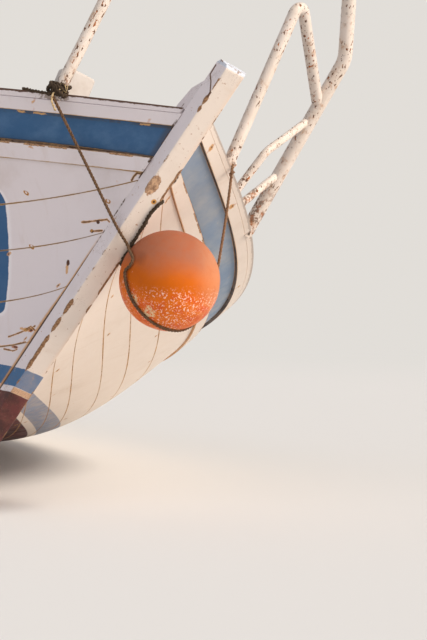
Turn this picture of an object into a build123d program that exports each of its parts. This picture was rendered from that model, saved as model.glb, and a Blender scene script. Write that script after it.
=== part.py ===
from build123d import *
from math import atan2, cos, exp, pi, radians, sin, sqrt, tan, tanh
import os

# A wooden fishing boat, about 7 m long, lying on its keel and port bilge.
# Millimetres. It is drawn upright in the boat's own frame, +X to the bow, +Y to port, +Z up,
# with z = 0 at the top of the blue boot-top stripe and x = 0 on the stem face at that height.
# Each finished piece is then heeled to port and moved so that the ground is z = 0.

# Driving dimensions
STEM_RAKE = 30.32
STEM_FACE = 83.0
STEM_SIDING = 124.0
RABBET_SETBACK = 70.0
STEM_HEAD = 1270.0
CAP_AT_STEM = 1100.4
KEEL_RABBET = -440.0
KEEL_BOTTOM = -597.4
KEEL_SIDING = 94.0
TRANSOM_X = -6300.0
HULL_RUN = 6900.0
PLANK = 25.0
SEAM = 2.4
HEEL = 23.53
GROUND_SHIFT = (3040.6, -167.4, 567.0)

# Depths below the cap line of the three bands along the top of the side
CAP_THICK = 24.0
RUB_BOTTOM = 77.6
BLUE_BOTTOM = 194.0
WALE_BOTTOM = 256.0
RUB_PROUD = 4.0
BLUE_PROUD = -12.0
WALE_PROUD = 10.0

# Decks, well and floor
DECK_BELOW_CAP = 262.0
DECK_THICK = 22.0
DECK_CAMBER = 40.0
WELL_FORE = -2150.0
WELL_AFT = -5150.0
WELL_HALF = 900.0
SOLE_Z = -150.0
SOLE_THICK = 18.0
FRAME_SIDING = 45.0
FRAME_DEPTH = 52.0
FRAME_PITCH = 440.0
FRAME_FIRST = -640.0
FRAME_COUNT = 13

STEM_SLOPE = tan(radians(STEM_RAKE))
SIDES = {"port": 1, "starboard": -1}

# Lines of the hull, from the keel rabbet up to the cap: height at the stem, full half breadth,
# how fast the breadth grows per metre, its power, its loss at the transom,
# height aft, how fast the height settles per metre, and rise of the run at the transom
HULL_LINES = (
    (-420.0, 0.0, 1.0, 1.0, 0.0, -440.0, 2.2222, 385.0),
    (87.1, 1080.1, 0.6019, 1.6461, 0.45, -232.1, 0.5569, 215.0),
    (593.3, 1400.2, 0.6293, 1.9612, 0.35, -142.9, 0.6247, 60.0),
    (1100.4, 1308.2, 0.8673, 1.0, 0.28, None, None, 0.0),
)
TAPER_START = 3200.0
RUN_START = 3900.0
SHEER_LOW = 3640.0
SHEER_LOW_Z = 585.0
SHEER_RISE_FORE = 0.0389e-3
SHEER_RISE_AFT = 0.0150e-3


def run_share(s, start, power):
    """How far aft of a start the run has come, 0 to 1, as a power."""
    return max(0.0, (s - start) / (HULL_RUN - start)) ** power


def sheer_height(s):
    """Height of the cap line, s millimetres aft of the stem rabbet."""
    rise = SHEER_RISE_FORE if s < SHEER_LOW else SHEER_RISE_AFT
    return SHEER_LOW_Z + rise * (s - SHEER_LOW) ** 2


def line_point(line, s):
    """A point of one hull line, on the port side."""
    stem_z, full, growth, power, loss, aft_z, settle, rise = line
    metres = s / 1000.0
    x_start = stem_z * STEM_SLOPE - RABBET_SETBACK
    x = x_start + (TRANSOM_X - x_start) * s / HULL_RUN
    if aft_z is None:
        z = sheer_height(s)
    elif full == 0.0:
        z = stem_z + (aft_z - stem_z) * (1 - exp(-settle * metres))
    else:
        z = stem_z + (aft_z - stem_z) * tanh(settle * metres)
    z += rise * run_share(s, RUN_START, 1.8)
    if full == 0.0:
        y = 50.0 + 12.0 * exp(-2.0 * metres)
    else:
        y = STEM_SIDING / 2 + full * tanh(growth * metres) ** power * (1 - loss * run_share(s, TAPER_START, 2.2))
    return Vector(x, y, z)


def hull_point(s, v):
    """The outer face of the planking, v = 0 at the keel rabbet and 1 at the cap."""
    low, lower, upper, high = [line_point(line, s) for line in HULL_LINES]
    return low * (1 - v) ** 3 + lower * (3 * v * (1 - v) ** 2) + upper * (3 * v * v * (1 - v)) + high * v ** 3


def level_of_depth(s, depth):
    """The v at which the side is this far below the cap line."""
    low, high = 0.0, 1.0
    for _ in range(30):
        mid = (low + high) / 2
        if sheer_height(s) - hull_point(s, mid).Z > depth:
            low = mid
        else:
            high = mid
    return (low + high) / 2


def run_at(x, v):
    """The s at which the hull's v line passes the station x."""
    fore = (1 - v) * line_point(HULL_LINES[0], 0).X + v * line_point(HULL_LINES[3], 0).X
    return HULL_RUN * (x - fore) / (TRANSOM_X - fore)


def station_point(x, v):
    """The point of a v line in the transverse plane at x."""
    return hull_point(run_at(x, v), v)


def level_at(x, z):
    """The v of the side at station x and height z."""
    low, high = 0.0, 1.0
    for _ in range(30):
        mid = (low + high) / 2
        if station_point(x, mid).Z < z:
            low = mid
        else:
            high = mid
    return (low + high) / 2


def breadth_at(x, z):
    """Half breadth to the outer face of the planking at station x and height z."""
    return station_point(x, level_at(x, z)).Y


def cap_height(x):
    """Height of the cap line at station x."""
    return station_point(x, 1.0).Z


def outward(s, v):
    """Unit normal of the planking, pointing out, on the port side."""
    step_s, step_v = 10.0, 0.01
    s = max(s, step_s)
    v = min(max(v, step_v), 1 - step_v)
    along = hull_point(s + step_s, v) - hull_point(s - step_s, v)
    up = hull_point(s, v + step_v) - hull_point(s, v - step_v)
    normal = up.cross(along).normalized()
    return normal if normal.Y > 0 else normal * -1


def on_side(point, side):
    """Mirror a port point to the side, 1 for port and -1 for starboard."""
    return Vector(point.X, point.Y * side, point.Z)


def keep(piece, label):
    """Lay a finished piece over with the boat, name it and write it."""
    laid = Location(GROUND_SHIFT) * Rotation(-HEEL, 0, 0) * piece
    laid.label = label
    export_step(laid, f"parts/{label}.step")


os.makedirs("parts", exist_ok=True)

# Stations along the hull for the planks, aft of the stem rabbet
STATIONS = (4.0, 180.0, 400.0, 700.0, 1100.0, 1600.0, 2300.0, 3100.0, 3900.0, 4700.0, 5400.0, 6100.0, 6890.0)

# Edges of the planks below the wale, as levels v at the stem and 1 m aft of it
STARBOARD_SEAMS = ((0.10, 0.10), (0.215, 0.215), (0.352, 0.352), (0.512, 0.48), (0.662, 0.632), (0.805, 0.735))
PORT_SEAMS = (
    (0.10, 0.10), (0.20, 0.20), (0.29, 0.29), (0.375, 0.37), (0.47, 0.455),
    (0.56, 0.52), (0.65, 0.62), (0.735, 0.70), (0.805, 0.785),
)
SEAM_SETTLE = 1000.0
planking = {"port": {}, "starboard": {}}


def seam_level(pair, s):
    """Level of a seam, moving from its place at the stem to its place further aft."""
    at_stem, aft = pair
    return aft + (at_stem - aft) * exp(-2.0 * s / SEAM_SETTLE)


def strake(lower, upper, side, proud=0.0, thick=PLANK):
    """Sections of one plank of the hull, one at each station, for its loft.

    lower and upper give the level v of its edges at s. proud moves its face out of the hull's.
    The face is crowned to the hull and the edges are bevelled to meet the next plank's.
    """
    sections = []
    for s in STATIONS:
        v_low, v_high = lower(s), upper(s)
        v_mid = (v_low + v_high) / 2
        low, high = hull_point(s, v_low), hull_point(s, v_high)
        along = (high - low).normalized()
        normal = outward(s, v_mid)
        normal = (normal - along * normal.dot(along)).normalized()
        crown = (hull_point(s, v_mid) - (low + high) / 2).dot(normal)
        half = ((high - low).length - SEAM) / 2
        bevel_low = max(0.0, -outward(s, v_low).dot(along)) * thick
        bevel_high = max(0.0, outward(s, v_high).dot(along)) * thick
        middle = on_side((low + high) / 2 + normal * proud, side)
        along, normal = on_side(along, side), on_side(normal, side)
        with BuildSketch(Plane(origin=middle, x_dir=along, z_dir=along.cross(normal))) as section:
            with BuildLine():
                Bezier((-half, 0), (0, 2 * crown), (half, 0))
                Polyline((half, 0), (half - bevel_high, -thick), (bevel_low - half, -thick), (-half, 0))
            make_face()
        sections.append(section.sketch)
    return sections


def depth_edge(depth):
    """An edge that runs at one depth below the cap line."""
    return lambda s: level_of_depth(s, depth)


def seam_edge(pair):
    """An edge that runs along a seam."""
    return lambda s: seam_level(pair, s)


for side_name, side in SIDES.items():
    seams = PORT_SEAMS if side > 0 else STARBOARD_SEAMS
    edges = [lambda s: 0.0] + [seam_edge(pair) for pair in seams] + [depth_edge(WALE_BOTTOM)]
    bottom_count = 3 if side < 0 else 4
    with BuildPart() as bottom_planks:
        for lower, upper in zip(edges[:bottom_count], edges[1:bottom_count + 1]):
            loft(strake(lower, upper, side), ruled=True)
    keep(bottom_planks.part, f"bottom_planks_{side_name}")
    planking[side_name]["bottom"] = bottom_planks.part
    with BuildPart() as topside_planks:
        for lower, upper in zip(edges[bottom_count:-1], edges[bottom_count + 1:]):
            loft(strake(lower, upper, side), ruled=True)
    keep(topside_planks.part, f"topside_planks_{side_name}")
    planking[side_name]["topside"] = topside_planks.part
    with BuildPart() as wale:
        loft(strake(depth_edge(WALE_BOTTOM), depth_edge(BLUE_BOTTOM), side, WALE_PROUD, PLANK + WALE_PROUD), ruled=True)
    keep(wale.part, f"wale_{side_name}")
    planking[side_name]["wale"] = wale.part
    with BuildPart() as bulwark_plank:
        loft(strake(depth_edge(BLUE_BOTTOM), depth_edge(RUB_BOTTOM), side, BLUE_PROUD), ruled=True)
    keep(bulwark_plank.part, f"bulwark_plank_{side_name}")
    planking[side_name]["bulwark"] = bulwark_plank.part

# Cap rails, laid flat on top of the bulwark, and the rubbing strakes under them
CAP_STATIONS = (60.0,) + STATIONS[1:-1] + (6840.0,)
CAP_WIDTH = 104.0
CAP_OVERHANG = 6.0
for side_name, side in SIDES.items():
    with BuildPart() as cap_rail:
        sections = []
        for s in CAP_STATIONS:
            edge = hull_point(s, 1.0)
            ahead = hull_point(s + 20, 1.0) - hull_point(s - 20, 1.0)
            inboard = Vector(ahead.Y, -ahead.X, 0).normalized()
            inboard = inboard if inboard.Y < 0 else inboard * -1
            middle = on_side(edge + inboard * (CAP_WIDTH / 2 - CAP_OVERHANG), side) - Vector(0, 0, CAP_THICK / 2)
            across = on_side(inboard, side)
            with BuildSketch(Plane(origin=middle, x_dir=across, z_dir=across.cross(Vector(0, 0, 1)))) as section:
                Rectangle(CAP_WIDTH, CAP_THICK - 2.0)
            sections.append(section.sketch)
        loft(sections, ruled=True)
    keep(cap_rail.part, f"cap_rail_{side_name}")
    with BuildPart() as rub_strake:
        loft(strake(depth_edge(RUB_BOTTOM), depth_edge(CAP_THICK), side, RUB_PROUD, PLANK + RUB_PROUD), ruled=True)
        add(cap_rail.part, mode=Mode.SUBTRACT)
    rub = rub_strake.part.solids().sort_by(SortBy.VOLUME)[-1]
    keep(rub, f"rub_strake_{side_name}")
    planking[side_name]["rub"] = rub
    planking[side_name]["cap"] = cap_rail.part


def planks_of(names, sides=("port", "starboard")):
    """The named strakes of the given sides."""
    return [planking[side_name][name] for side_name in sides for name in names]


# Stem: a raked timber, narrow at its face and rabbeted for the planks, its head cut to a wedge
STEM_DEPTH = 215.0
APRON_SIDING = 66.0
RABBET_DEPTH = RABBET_SETBACK * cos(radians(STEM_RAKE))
STEM_DIRECTION = Vector(sin(radians(STEM_RAKE)), 0, cos(radians(STEM_RAKE)))
STEM_AFT = Vector(-cos(radians(STEM_RAKE)), 0, sin(radians(STEM_RAKE)))
FOREFOOT_RADIUS = 150.0
STEM_SOLE = KEEL_BOTTOM + 9.0
HEAD_FLAT = 40.0
stem_foot = Vector(KEEL_BOTTOM * STEM_SLOPE, 0, KEEL_BOTTOM) - STEM_DIRECTION * 60
stem_length = (STEM_HEAD - KEEL_BOTTOM) / cos(radians(STEM_RAKE)) + 120

with BuildPart() as stem:
    with BuildSketch(Plane(origin=stem_foot, x_dir=STEM_AFT, z_dir=STEM_DIRECTION)):
        with BuildLine():
            half = Polyline(
                (0, STEM_FACE / 2), (RABBET_DEPTH, STEM_SIDING / 2), (RABBET_DEPTH, APRON_SIDING / 2),
                (STEM_DEPTH, APRON_SIDING / 2), (STEM_DEPTH, 0),
            )
            mirror(half, about=Plane.XZ)
            Line((0, STEM_FACE / 2), (0, -STEM_FACE / 2))
        make_face()
    extrude(amount=stem_length)
    with BuildSketch(Plane.XZ) as stem_profile:
        with BuildLine():
            head_x = STEM_HEAD * STEM_SLOPE
            wedge_z = CAP_AT_STEM + 4
            sole_x = STEM_SOLE * STEM_SLOPE
            heel_x = sole_x - 330.0
            FilletPolyline(
                (head_x, STEM_HEAD), (sole_x, STEM_SOLE), (heel_x, STEM_SOLE),
                radius=FOREFOOT_RADIUS,
            )
            Polyline(
                (heel_x, STEM_SOLE), (heel_x, KEEL_RABBET + 60), (wedge_z * STEM_SLOPE - STEM_DEPTH - 40, wedge_z),
            )
            ThreePointArc(
                (wedge_z * STEM_SLOPE - STEM_DEPTH - 40, wedge_z),
                (head_x - HEAD_FLAT - 95, STEM_HEAD - 62),
                (head_x - HEAD_FLAT, STEM_HEAD + 6),
            )
            Line((head_x - HEAD_FLAT, STEM_HEAD + 6), (head_x, STEM_HEAD))
        make_face()
    extrude(amount=STEM_SIDING, both=True, mode=Mode.INTERSECT)
keep(stem.part, "stem")

# Keel: one straight timber, rabbeted for the garboards
KEEL_AFT = TRANSOM_X
KEEL_TOP = KEEL_RABBET + 34.0
keel_fore = STEM_SOLE * STEM_SLOPE - 330.0
APERTURE_FORE = -5930.0
SHOE_TOP = -548.0
SHAFT_RADIUS = 16.0
PROP_CENTRE = Vector(-6110.0, 0, -362.0)
SHAFT_RISE = 6.5
SHAFT_FORWARD = Vector(cos(radians(SHAFT_RISE)), 0, sin(radians(SHAFT_RISE)))
SHAFT_PLANE = Plane(origin=PROP_CENTRE, x_dir=(0, 1, 0), z_dir=SHAFT_FORWARD)
STERN_TUBE_RADIUS = 34.0
DEADWOOD_SIDING = 80.0
DEADWOOD_FORE = -4300.0

with BuildPart() as keel:
    with BuildSketch(Plane.XZ):
        with BuildLine():
            Polyline(
                (keel_fore - 2, KEEL_BOTTOM), (keel_fore - 2, KEEL_TOP), (DEADWOOD_FORE, KEEL_TOP),
                (DEADWOOD_FORE - 120, KEEL_RABBET - 10), (APERTURE_FORE, KEEL_RABBET - 10), (APERTURE_FORE, SHOE_TOP),
                (KEEL_AFT, SHOE_TOP), (KEEL_AFT, KEEL_BOTTOM), (keel_fore - 2, KEEL_BOTTOM),
            )
        make_face()
    extrude(amount=KEEL_SIDING / 2, both=True)
    for plank in planks_of(("bottom",)):
        add(plank, mode=Mode.SUBTRACT)
keep(keel.part.solids().sort_by(SortBy.VOLUME)[-1], "keel")

# Deadwood: fills between the keel and the rising run, bored for the stern tube
with BuildPart() as deadwood:
    run_points = []
    for step in range(6):
        x = DEADWOOD_FORE - 130 + (APERTURE_FORE + 2 - DEADWOOD_FORE + 130) * step / 5
        run_points.append((x, max(station_point(x, 0.0).Z + 22, KEEL_RABBET + 10)))
    with BuildSketch(Plane.XZ):
        with BuildLine():
            Polyline(*run_points)
            Polyline(
                run_points[-1], (APERTURE_FORE + 2, KEEL_RABBET - 9), (DEADWOOD_FORE - 130, KEEL_RABBET - 9),
                run_points[0],
            )
        make_face()
    extrude(amount=DEADWOOD_SIDING / 2, both=True)
    with BuildSketch(SHAFT_PLANE):
        Circle(STERN_TUBE_RADIUS + 0.5)
    extrude(amount=1600, mode=Mode.SUBTRACT)
keep(deadwood.part, "deadwood")

# Stern tube, through the deadwood, bored for the shaft
TUBE_START, TUBE_END = 150.0, 1150.0
with BuildPart() as stern_tube:
    with BuildSketch(SHAFT_PLANE.offset(TUBE_START)):
        Circle(STERN_TUBE_RADIUS)
    extrude(amount=TUBE_END - TUBE_START)
    with BuildSketch(SHAFT_PLANE.offset(TUBE_START)):
        Circle(STERN_TUBE_RADIUS + 12)
    extrude(amount=22)
    with BuildSketch(SHAFT_PLANE.offset(TUBE_START - 5)):
        Circle(SHAFT_RADIUS + 0.08)
    extrude(amount=TUBE_END, mode=Mode.SUBTRACT)
keep(stern_tube.part, "stern_tube")

# Sternpost, from the keel shoe up the middle of the transom
POST_DEPTH = 74.0
POST_SIDING = 80.0
TRANSOM_THICK = 36.0
transom_top = sheer_height(HULL_RUN) + 45.0
with BuildPart() as sternpost:
    with BuildSketch(Plane.XZ):
        with BuildLine():
            Polyline(
                (TRANSOM_X - 1, KEEL_BOTTOM), (TRANSOM_X - 1, transom_top - 60), (TRANSOM_X - POST_DEPTH, transom_top - 90),
                (TRANSOM_X - POST_DEPTH, KEEL_BOTTOM), (TRANSOM_X - 1, KEEL_BOTTOM),
            )
        make_face()
    extrude(amount=POST_SIDING / 2, both=True)
keep(sternpost.part, "sternpost")

# Transom, its edge fayed inside the planking
TRANSOM_LEVELS = (0.02, 0.12, 0.25, 0.38, 0.5, 0.6, 0.68)
BULWARK_LEVELS = (0.8, 0.88, 0.96)
TRANSOM_MARGIN = 7.5
TRANSOM_FACE = TRANSOM_X + 8.0


def inner_outline(x, levels, siding, margin, extra=0.0):
    """Points (y, z) just inside the planking in the plane x, on the port side."""
    points = []
    for v in levels:
        s = min(max(run_at(x, v), 0.0), HULL_RUN)
        point, normal = hull_point(s, v), outward(s, v)
        flat = sqrt(normal.Y ** 2 + normal.Z ** 2)
        inset = (PLANK + extra + siding / 2 * abs(normal.X)) / flat + margin
        points.append((point.Y - normal.Y / flat * inset, point.Z - normal.Z / flat * inset))
    return points


def inner_reach(x, z, margin):
    """Half breadth at station x and height z to the inner face of the frames, less a margin."""
    low, high = 0.02, 1.0
    for _ in range(25):
        mid = (low + high) / 2
        if inner_outline(x, (mid,), FRAME_SIDING, FRAME_DEPTH + margin)[0][1] < z:
            low = mid
        else:
            high = mid
    return inner_outline(x, (mid,), FRAME_SIDING, FRAME_DEPTH + margin)[0][0]


with BuildPart() as transom:
    middle = TRANSOM_FACE + TRANSOM_THICK / 2
    outline = inner_outline(middle, TRANSOM_LEVELS, TRANSOM_THICK, TRANSOM_MARGIN)
    outline += inner_outline(middle, BULWARK_LEVELS, TRANSOM_THICK, TRANSOM_MARGIN, -BLUE_PROUD)
    with BuildSketch(Plane(origin=(TRANSOM_FACE, 0, 0), x_dir=(0, 1, 0), z_dir=(1, 0, 0))):
        with BuildLine():
            port_edge = Spline(*outline)
            top_corner = (outline[-1][0], outline[-1][1])
            mirror(port_edge, about=Plane.YZ)
            ThreePointArc(top_corner, (0, transom_top + 60), (-top_corner[0], top_corner[1]))
            Line(outline[0], (-outline[0][0], outline[0][1]))
        make_face()
    extrude(amount=TRANSOM_THICK)
keep(transom.part, "transom")


# Deck, cambered, laid between the planking below the bulwark


def deck_section(x, lower=0.0, thick=DECK_THICK, margin=3.0):
    """Half breadth, edge height and camber of the deck's upper face at station x."""
    edge_z = cap_height(x) - DECK_BELOW_CAP - lower
    half, _ = inner_outline(x, (level_at(x, edge_z - thick),), 0.0, margin)[0]
    return half, edge_z, DECK_CAMBER * half / 1300.0


def deck_height(x, y, lower=0.0):
    """Height of the deck's upper face at station x and distance y from the centre line."""
    half, edge_z, camber = deck_section(x, lower)
    return edge_z + camber * (1 - (y / half) ** 2)


def deck_loft(stations):
    """Sections of a full-width deck, for its loft."""
    sections = []
    for x in stations:
        half, edge_z, camber = deck_section(x)
        low_z = edge_z - DECK_THICK
        with BuildSketch(Plane(origin=(x, 0, 0), x_dir=(0, 1, 0), z_dir=(1, 0, 0))) as section:
            with BuildLine():
                Bezier((half, edge_z), (0, edge_z + 2 * camber), (-half, edge_z))
                Line((-half, edge_z), (-half, low_z))
                Bezier((-half, low_z), (0, low_z + 2 * camber), (half, low_z))
                Line((half, low_z), (half, edge_z))
            make_face()
        sections.append(section.sketch)
    return sections


HATCH_FORE, HATCH_AFT, HATCH_HALF = -980.0, -1540.0, 270.0
BOARD = 22.0
FOREDECK_STATIONS = (155.0, 0.0, -250.0, -600.0, -1050.0, -1600.0, WELL_FORE)
AFT_DECK_STATIONS = (WELL_AFT, -5700.0, -6250.0)

with BuildPart() as foredeck:
    loft(deck_loft(FOREDECK_STATIONS), ruled=True)
    with Locations(((HATCH_FORE + HATCH_AFT) / 2, 0, 500)):
        Box(HATCH_FORE - HATCH_AFT, 2 * HATCH_HALF, 900, mode=Mode.SUBTRACT)
    for plank in planks_of(("topside", "wale")):
        add(plank, mode=Mode.SUBTRACT)
keep(foredeck.part.solids().sort_by(SortBy.VOLUME)[-1], "foredeck")

with BuildPart() as aft_deck:
    loft(deck_loft(AFT_DECK_STATIONS), ruled=True)
    for plank in planks_of(("topside", "wale")):
        add(plank, mode=Mode.SUBTRACT)
keep(aft_deck.part.solids().sort_by(SortBy.VOLUME)[-1], "aft_deck")

SIDE_DECK_STATIONS = (WELL_FORE - 2, -2800.0, -3500.0, -4300.0, WELL_AFT + 2)
for side_name, side in SIDES.items():
    with BuildPart() as side_deck:
        sections = []
        for x in SIDE_DECK_STATIONS:
            half, edge_z, _ = deck_section(x)
            inner_z = deck_height(x, WELL_HALF)
            with BuildSketch(Plane(origin=(x, 0, 0), x_dir=(0, 1, 0), z_dir=(1, 0, 0))) as section:
                with BuildLine():
                    Polyline(
                        (side * half, edge_z), (side * WELL_HALF, inner_z), (side * WELL_HALF, inner_z - DECK_THICK),
                        (side * half, edge_z - DECK_THICK), (side * half, edge_z),
                    )
                make_face()
            sections.append(section.sketch)
        loft(sections, ruled=True)
        for plank in planks_of(("topside", "wale"), (side_name,)):
            add(plank, mode=Mode.SUBTRACT)
    keep(side_deck.part.solids().sort_by(SortBy.VOLUME)[-1], f"side_deck_{side_name}")

# Coaming round the well, standing above the deck and reaching below it as a carlin
COAMING_RISE = 75.0
COAMING_DROP = 72.0
with BuildPart() as coaming:
    rail_stations = [WELL_FORE + (WELL_AFT - WELL_FORE) * step / 6 for step in range(7)]
    for side in SIDES.values():
        top = [(x, deck_height(x, WELL_HALF) + COAMING_RISE) for x in rail_stations]
        bottom = [(x, deck_height(x, WELL_HALF) - COAMING_DROP) for x in rail_stations]
        with BuildSketch(Plane.XZ.offset(-side * (WELL_HALF - 1 - BOARD / 2))):
            with BuildLine():
                Polyline(*(top + bottom[::-1] + top[:1]))
            make_face()
        extrude(amount=BOARD / 2, both=True)
    for x in (WELL_FORE - 1 - BOARD / 2, WELL_AFT + 1 + BOARD / 2):
        level = deck_height(x, WELL_HALF)
        with BuildSketch(Plane(origin=(x, 0, 0), x_dir=(0, 1, 0), z_dir=(1, 0, 0))):
            with BuildLine():
                reach = WELL_HALF - 1
                Line((-reach, level - COAMING_DROP), (reach, level - COAMING_DROP))
                Line((reach, level - COAMING_DROP), (reach, level + COAMING_RISE))
                ThreePointArc((reach, level + COAMING_RISE), (0, level + COAMING_RISE + 22), (-reach, level + COAMING_RISE))
                Line((-reach, level + COAMING_RISE), (-reach, level - COAMING_DROP))
            make_face()
        extrude(amount=BOARD / 2, both=True)
keep(coaming.part, "coaming")

# Deck beams, cambered to the deck, at the ends of the well and under the decks
BEAM_SIDING, BEAM_DEPTH = 50.0, 72.0
BEAM_STATIONS = (-700.0, -1590.0, WELL_FORE + 30.0, WELL_AFT - 30.0, -5640.0)
with BuildPart() as deck_beams:
    for x in BEAM_STATIONS:
        half, edge_z, camber = deck_section(x, DECK_THICK + 2.0, BEAM_DEPTH, 16.0)
        with BuildSketch(Plane(origin=(x, 0, 0), x_dir=(0, 1, 0), z_dir=(1, 0, 0))):
            with BuildLine():
                Bezier((half, edge_z), (0, edge_z + 2 * camber), (-half, edge_z))
                Line((-half, edge_z), (-half, edge_z - BEAM_DEPTH))
                Bezier((-half, edge_z - BEAM_DEPTH), (0, edge_z - BEAM_DEPTH + 2 * camber), (half, edge_z - BEAM_DEPTH))
                Line((half, edge_z - BEAM_DEPTH), (half, edge_z))
            make_face()
        extrude(amount=BEAM_SIDING / 2, both=True)
    for plank in planks_of(("topside",)):
        add(plank, mode=Mode.SUBTRACT)
keep(deck_beams.part, "deck_beams")

# Frames: a sawn rib up each side at each station, its head under the deck
FRAME_LEVELS = (0.07, 0.16, 0.26, 0.36, 0.46, 0.56, 0.66)
HEAD_GAP = 24.0
frame_stations = [FRAME_FIRST - FRAME_PITCH * index for index in range(FRAME_COUNT)]


def frame_top(x, head):
    """Height of the inner corner of a frame's head at level v."""
    return inner_outline(x, (head,), FRAME_SIDING, 2.0 + FRAME_DEPTH)[0][1]


for side_name, side in SIDES.items():
    with BuildPart() as frames:
        for x in frame_stations:
            head = level_at(x, cap_height(x) - DECK_BELOW_CAP - DECK_THICK - HEAD_GAP)
            while frame_top(x, head) > cap_height(x - FRAME_SIDING) - DECK_BELOW_CAP - DECK_THICK - 4.0:
                head -= 0.004
            levels = [v for v in FRAME_LEVELS if v < head - 0.05] + [head]
            outer = inner_outline(x, levels, FRAME_SIDING, 2.0)
            inner = inner_outline(x, levels, FRAME_SIDING, 2.0 + FRAME_DEPTH)
            with BuildSketch(Plane(origin=(x, 0, 0), x_dir=(0, 1, 0), z_dir=(1, 0, 0))):
                with BuildLine():
                    Polyline(*[(y * side, z) for y, z in outer + inner[::-1] + outer[:1]])
                make_face()
            extrude(amount=FRAME_SIDING / 2, both=True)
        for plank in planks_of(("bottom", "topside"), (side_name,)):
            add(plank, mode=Mode.SUBTRACT)
    keep(frames.part, f"frames_{side_name}")
    with BuildPart() as stanchions:
        for x in frame_stations:
            low_z = cap_height(x) - DECK_BELOW_CAP + 10.0
            high_z = cap_height(x) - CAP_THICK - 22.0
            levels = [level_at(x, z) for z in (low_z, high_z)]
            outer = inner_outline(x, levels, FRAME_SIDING, 2.0, 12.0)
            inner = inner_outline(x, levels, FRAME_SIDING, 2.0 + FRAME_SIDING, 12.0)
            with BuildSketch(Plane(origin=(x, 0, 0), x_dir=(0, 1, 0), z_dir=(1, 0, 0))):
                with BuildLine():
                    Polyline(*[(y * side, z) for y, z in outer + inner[::-1] + outer[:1]])
                make_face()
            extrude(amount=FRAME_SIDING / 2, both=True)
        for plank in planks_of(("topside", "wale", "bulwark", "rub", "cap"), (side_name,)):
            add(plank, mode=Mode.SUBTRACT)
    keep(stanchions.part, f"stanchions_{side_name}")

# Floor timbers across the keel under the sole, notched for the engine and its shaft
FLOOR_LEVELS = (0.015, 0.06, 0.1, 0.14, 0.18, 0.23, 0.28, 0.34)
FLOOR_AFT = -5000.0
FLOOR_SIDING = 44.0
NOTCH_HALF, NOTCH_Z, NOTCH_FORE, NOTCH_WEB = 205.0, -325.0, -3700.0, 60.0
floor_top = SOLE_Z - SOLE_THICK - 1.0
with BuildPart() as floors:
    for x in [x - FRAME_SIDING - 3.0 for x in frame_stations if FLOOR_AFT < x - 60 < WELL_FORE]:
        top_y, _ = inner_outline(x, (level_at(x, floor_top - 20),), FLOOR_SIDING, 18.0)[0]
        lower = [
            (y, max(z, KEEL_TOP + 4)) for y, z in inner_outline(x, FLOOR_LEVELS, FLOOR_SIDING, 4.0)
            if z < floor_top - 40
        ]
        notch_z = max(NOTCH_Z, lower[0][1] + NOTCH_WEB)
        notch = [(NOTCH_HALF, floor_top), (NOTCH_HALF, notch_z)] if x < NOTCH_FORE else []
        port = lower + [(top_y, floor_top)] + notch
        with BuildSketch(Plane(origin=(x, 0, 0), x_dir=(0, 1, 0), z_dir=(1, 0, 0))):
            with BuildLine():
                Polyline(*(port + [(-y, z) for y, z in port[::-1]] + port[:1]))
            make_face()
        extrude(amount=FLOOR_SIDING / 2, both=True)
    for plank in planks_of(("bottom", "topside")):
        add(plank, mode=Mode.SUBTRACT)
keep(floors.part, "floors")

# Engine box, open below, and its hinged lid
BOX_FORE, BOX_AFT, BOX_HALF, BOX_TOP = -3700.0, -4700.0, 330.0, 262.0
LID_THICK = 24.0
LID_OVERLAP = 14.0
box_middle = (BOX_FORE + BOX_AFT) / 2
box_length = BOX_FORE - BOX_AFT
with BuildPart() as engine_box:
    with BuildSketch(Plane.XY.offset(SOLE_Z + 1)):
        with Locations((box_middle, 0)):
            Rectangle(box_length, 2 * BOX_HALF)
            Rectangle(box_length - 2 * BOARD, 2 * (BOX_HALF - BOARD), mode=Mode.SUBTRACT)
    extrude(amount=BOX_TOP - SOLE_Z - 1)
keep(engine_box.part, "engine_box")

with BuildPart() as engine_lid:
    with BuildSketch(Plane.XY.offset(BOX_TOP + 1)):
        with Locations((box_middle - LID_OVERLAP / 2, 0)):
            Rectangle(box_length + LID_OVERLAP, 2 * (BOX_HALF + LID_OVERLAP))
    extrude(amount=LID_THICK)
    with Locations((box_middle + 260, 0, BOX_TOP + 1 + LID_THICK), (box_middle - 260, 0, BOX_TOP + 1 + LID_THICK)):
        Box(60, 2 * BOX_HALF - 60, 20, align=(Align.CENTER, Align.CENTER, Align.MIN))
    fillet(engine_lid.edges().filter_by(Axis.Z), 8)
keep(engine_lid.part, "engine_lid")

# Sole boards, the inner ones stopped at the engine box
SOLE_BOARD, SOLE_PITCH, SOLE_COUNT = 128.0, 134.0, 4
SOLE_FORE, SOLE_AFT, SOLE_STEP = -2200.0, -5110.0, 30.0


def sole_reach(near_y, far_y):
    """The stretch of the well in which a board between two distances from the centre fits."""
    fits = []
    x = SOLE_FORE
    while x > SOLE_AFT:
        if inner_reach(x, SOLE_Z - SOLE_THICK, 8.0) > far_y:
            fits.append(x)
        x -= SOLE_STEP
    return fits[0], fits[-1]


with BuildPart() as sole_boards:
    for index in range(SOLE_COUNT):
        near_y = SOLE_PITCH * index + 3.0
        fore, aft = sole_reach(near_y, near_y + SOLE_BOARD)
        stretches = [(fore, aft)]
        if near_y + SOLE_BOARD < BOX_HALF - BOARD:
            stretches = [(fore, BOX_FORE + 4), (BOX_AFT - 4, aft)]
        for start, end in stretches:
            for side in SIDES.values():
                with BuildSketch(Plane.XY.offset(SOLE_Z - SOLE_THICK)):
                    with Locations(((start + end) / 2, side * (near_y + SOLE_BOARD / 2))):
                        Rectangle(start - end, SOLE_BOARD)
                extrude(amount=SOLE_THICK)
keep(sole_boards.part, "sole_boards")

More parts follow.
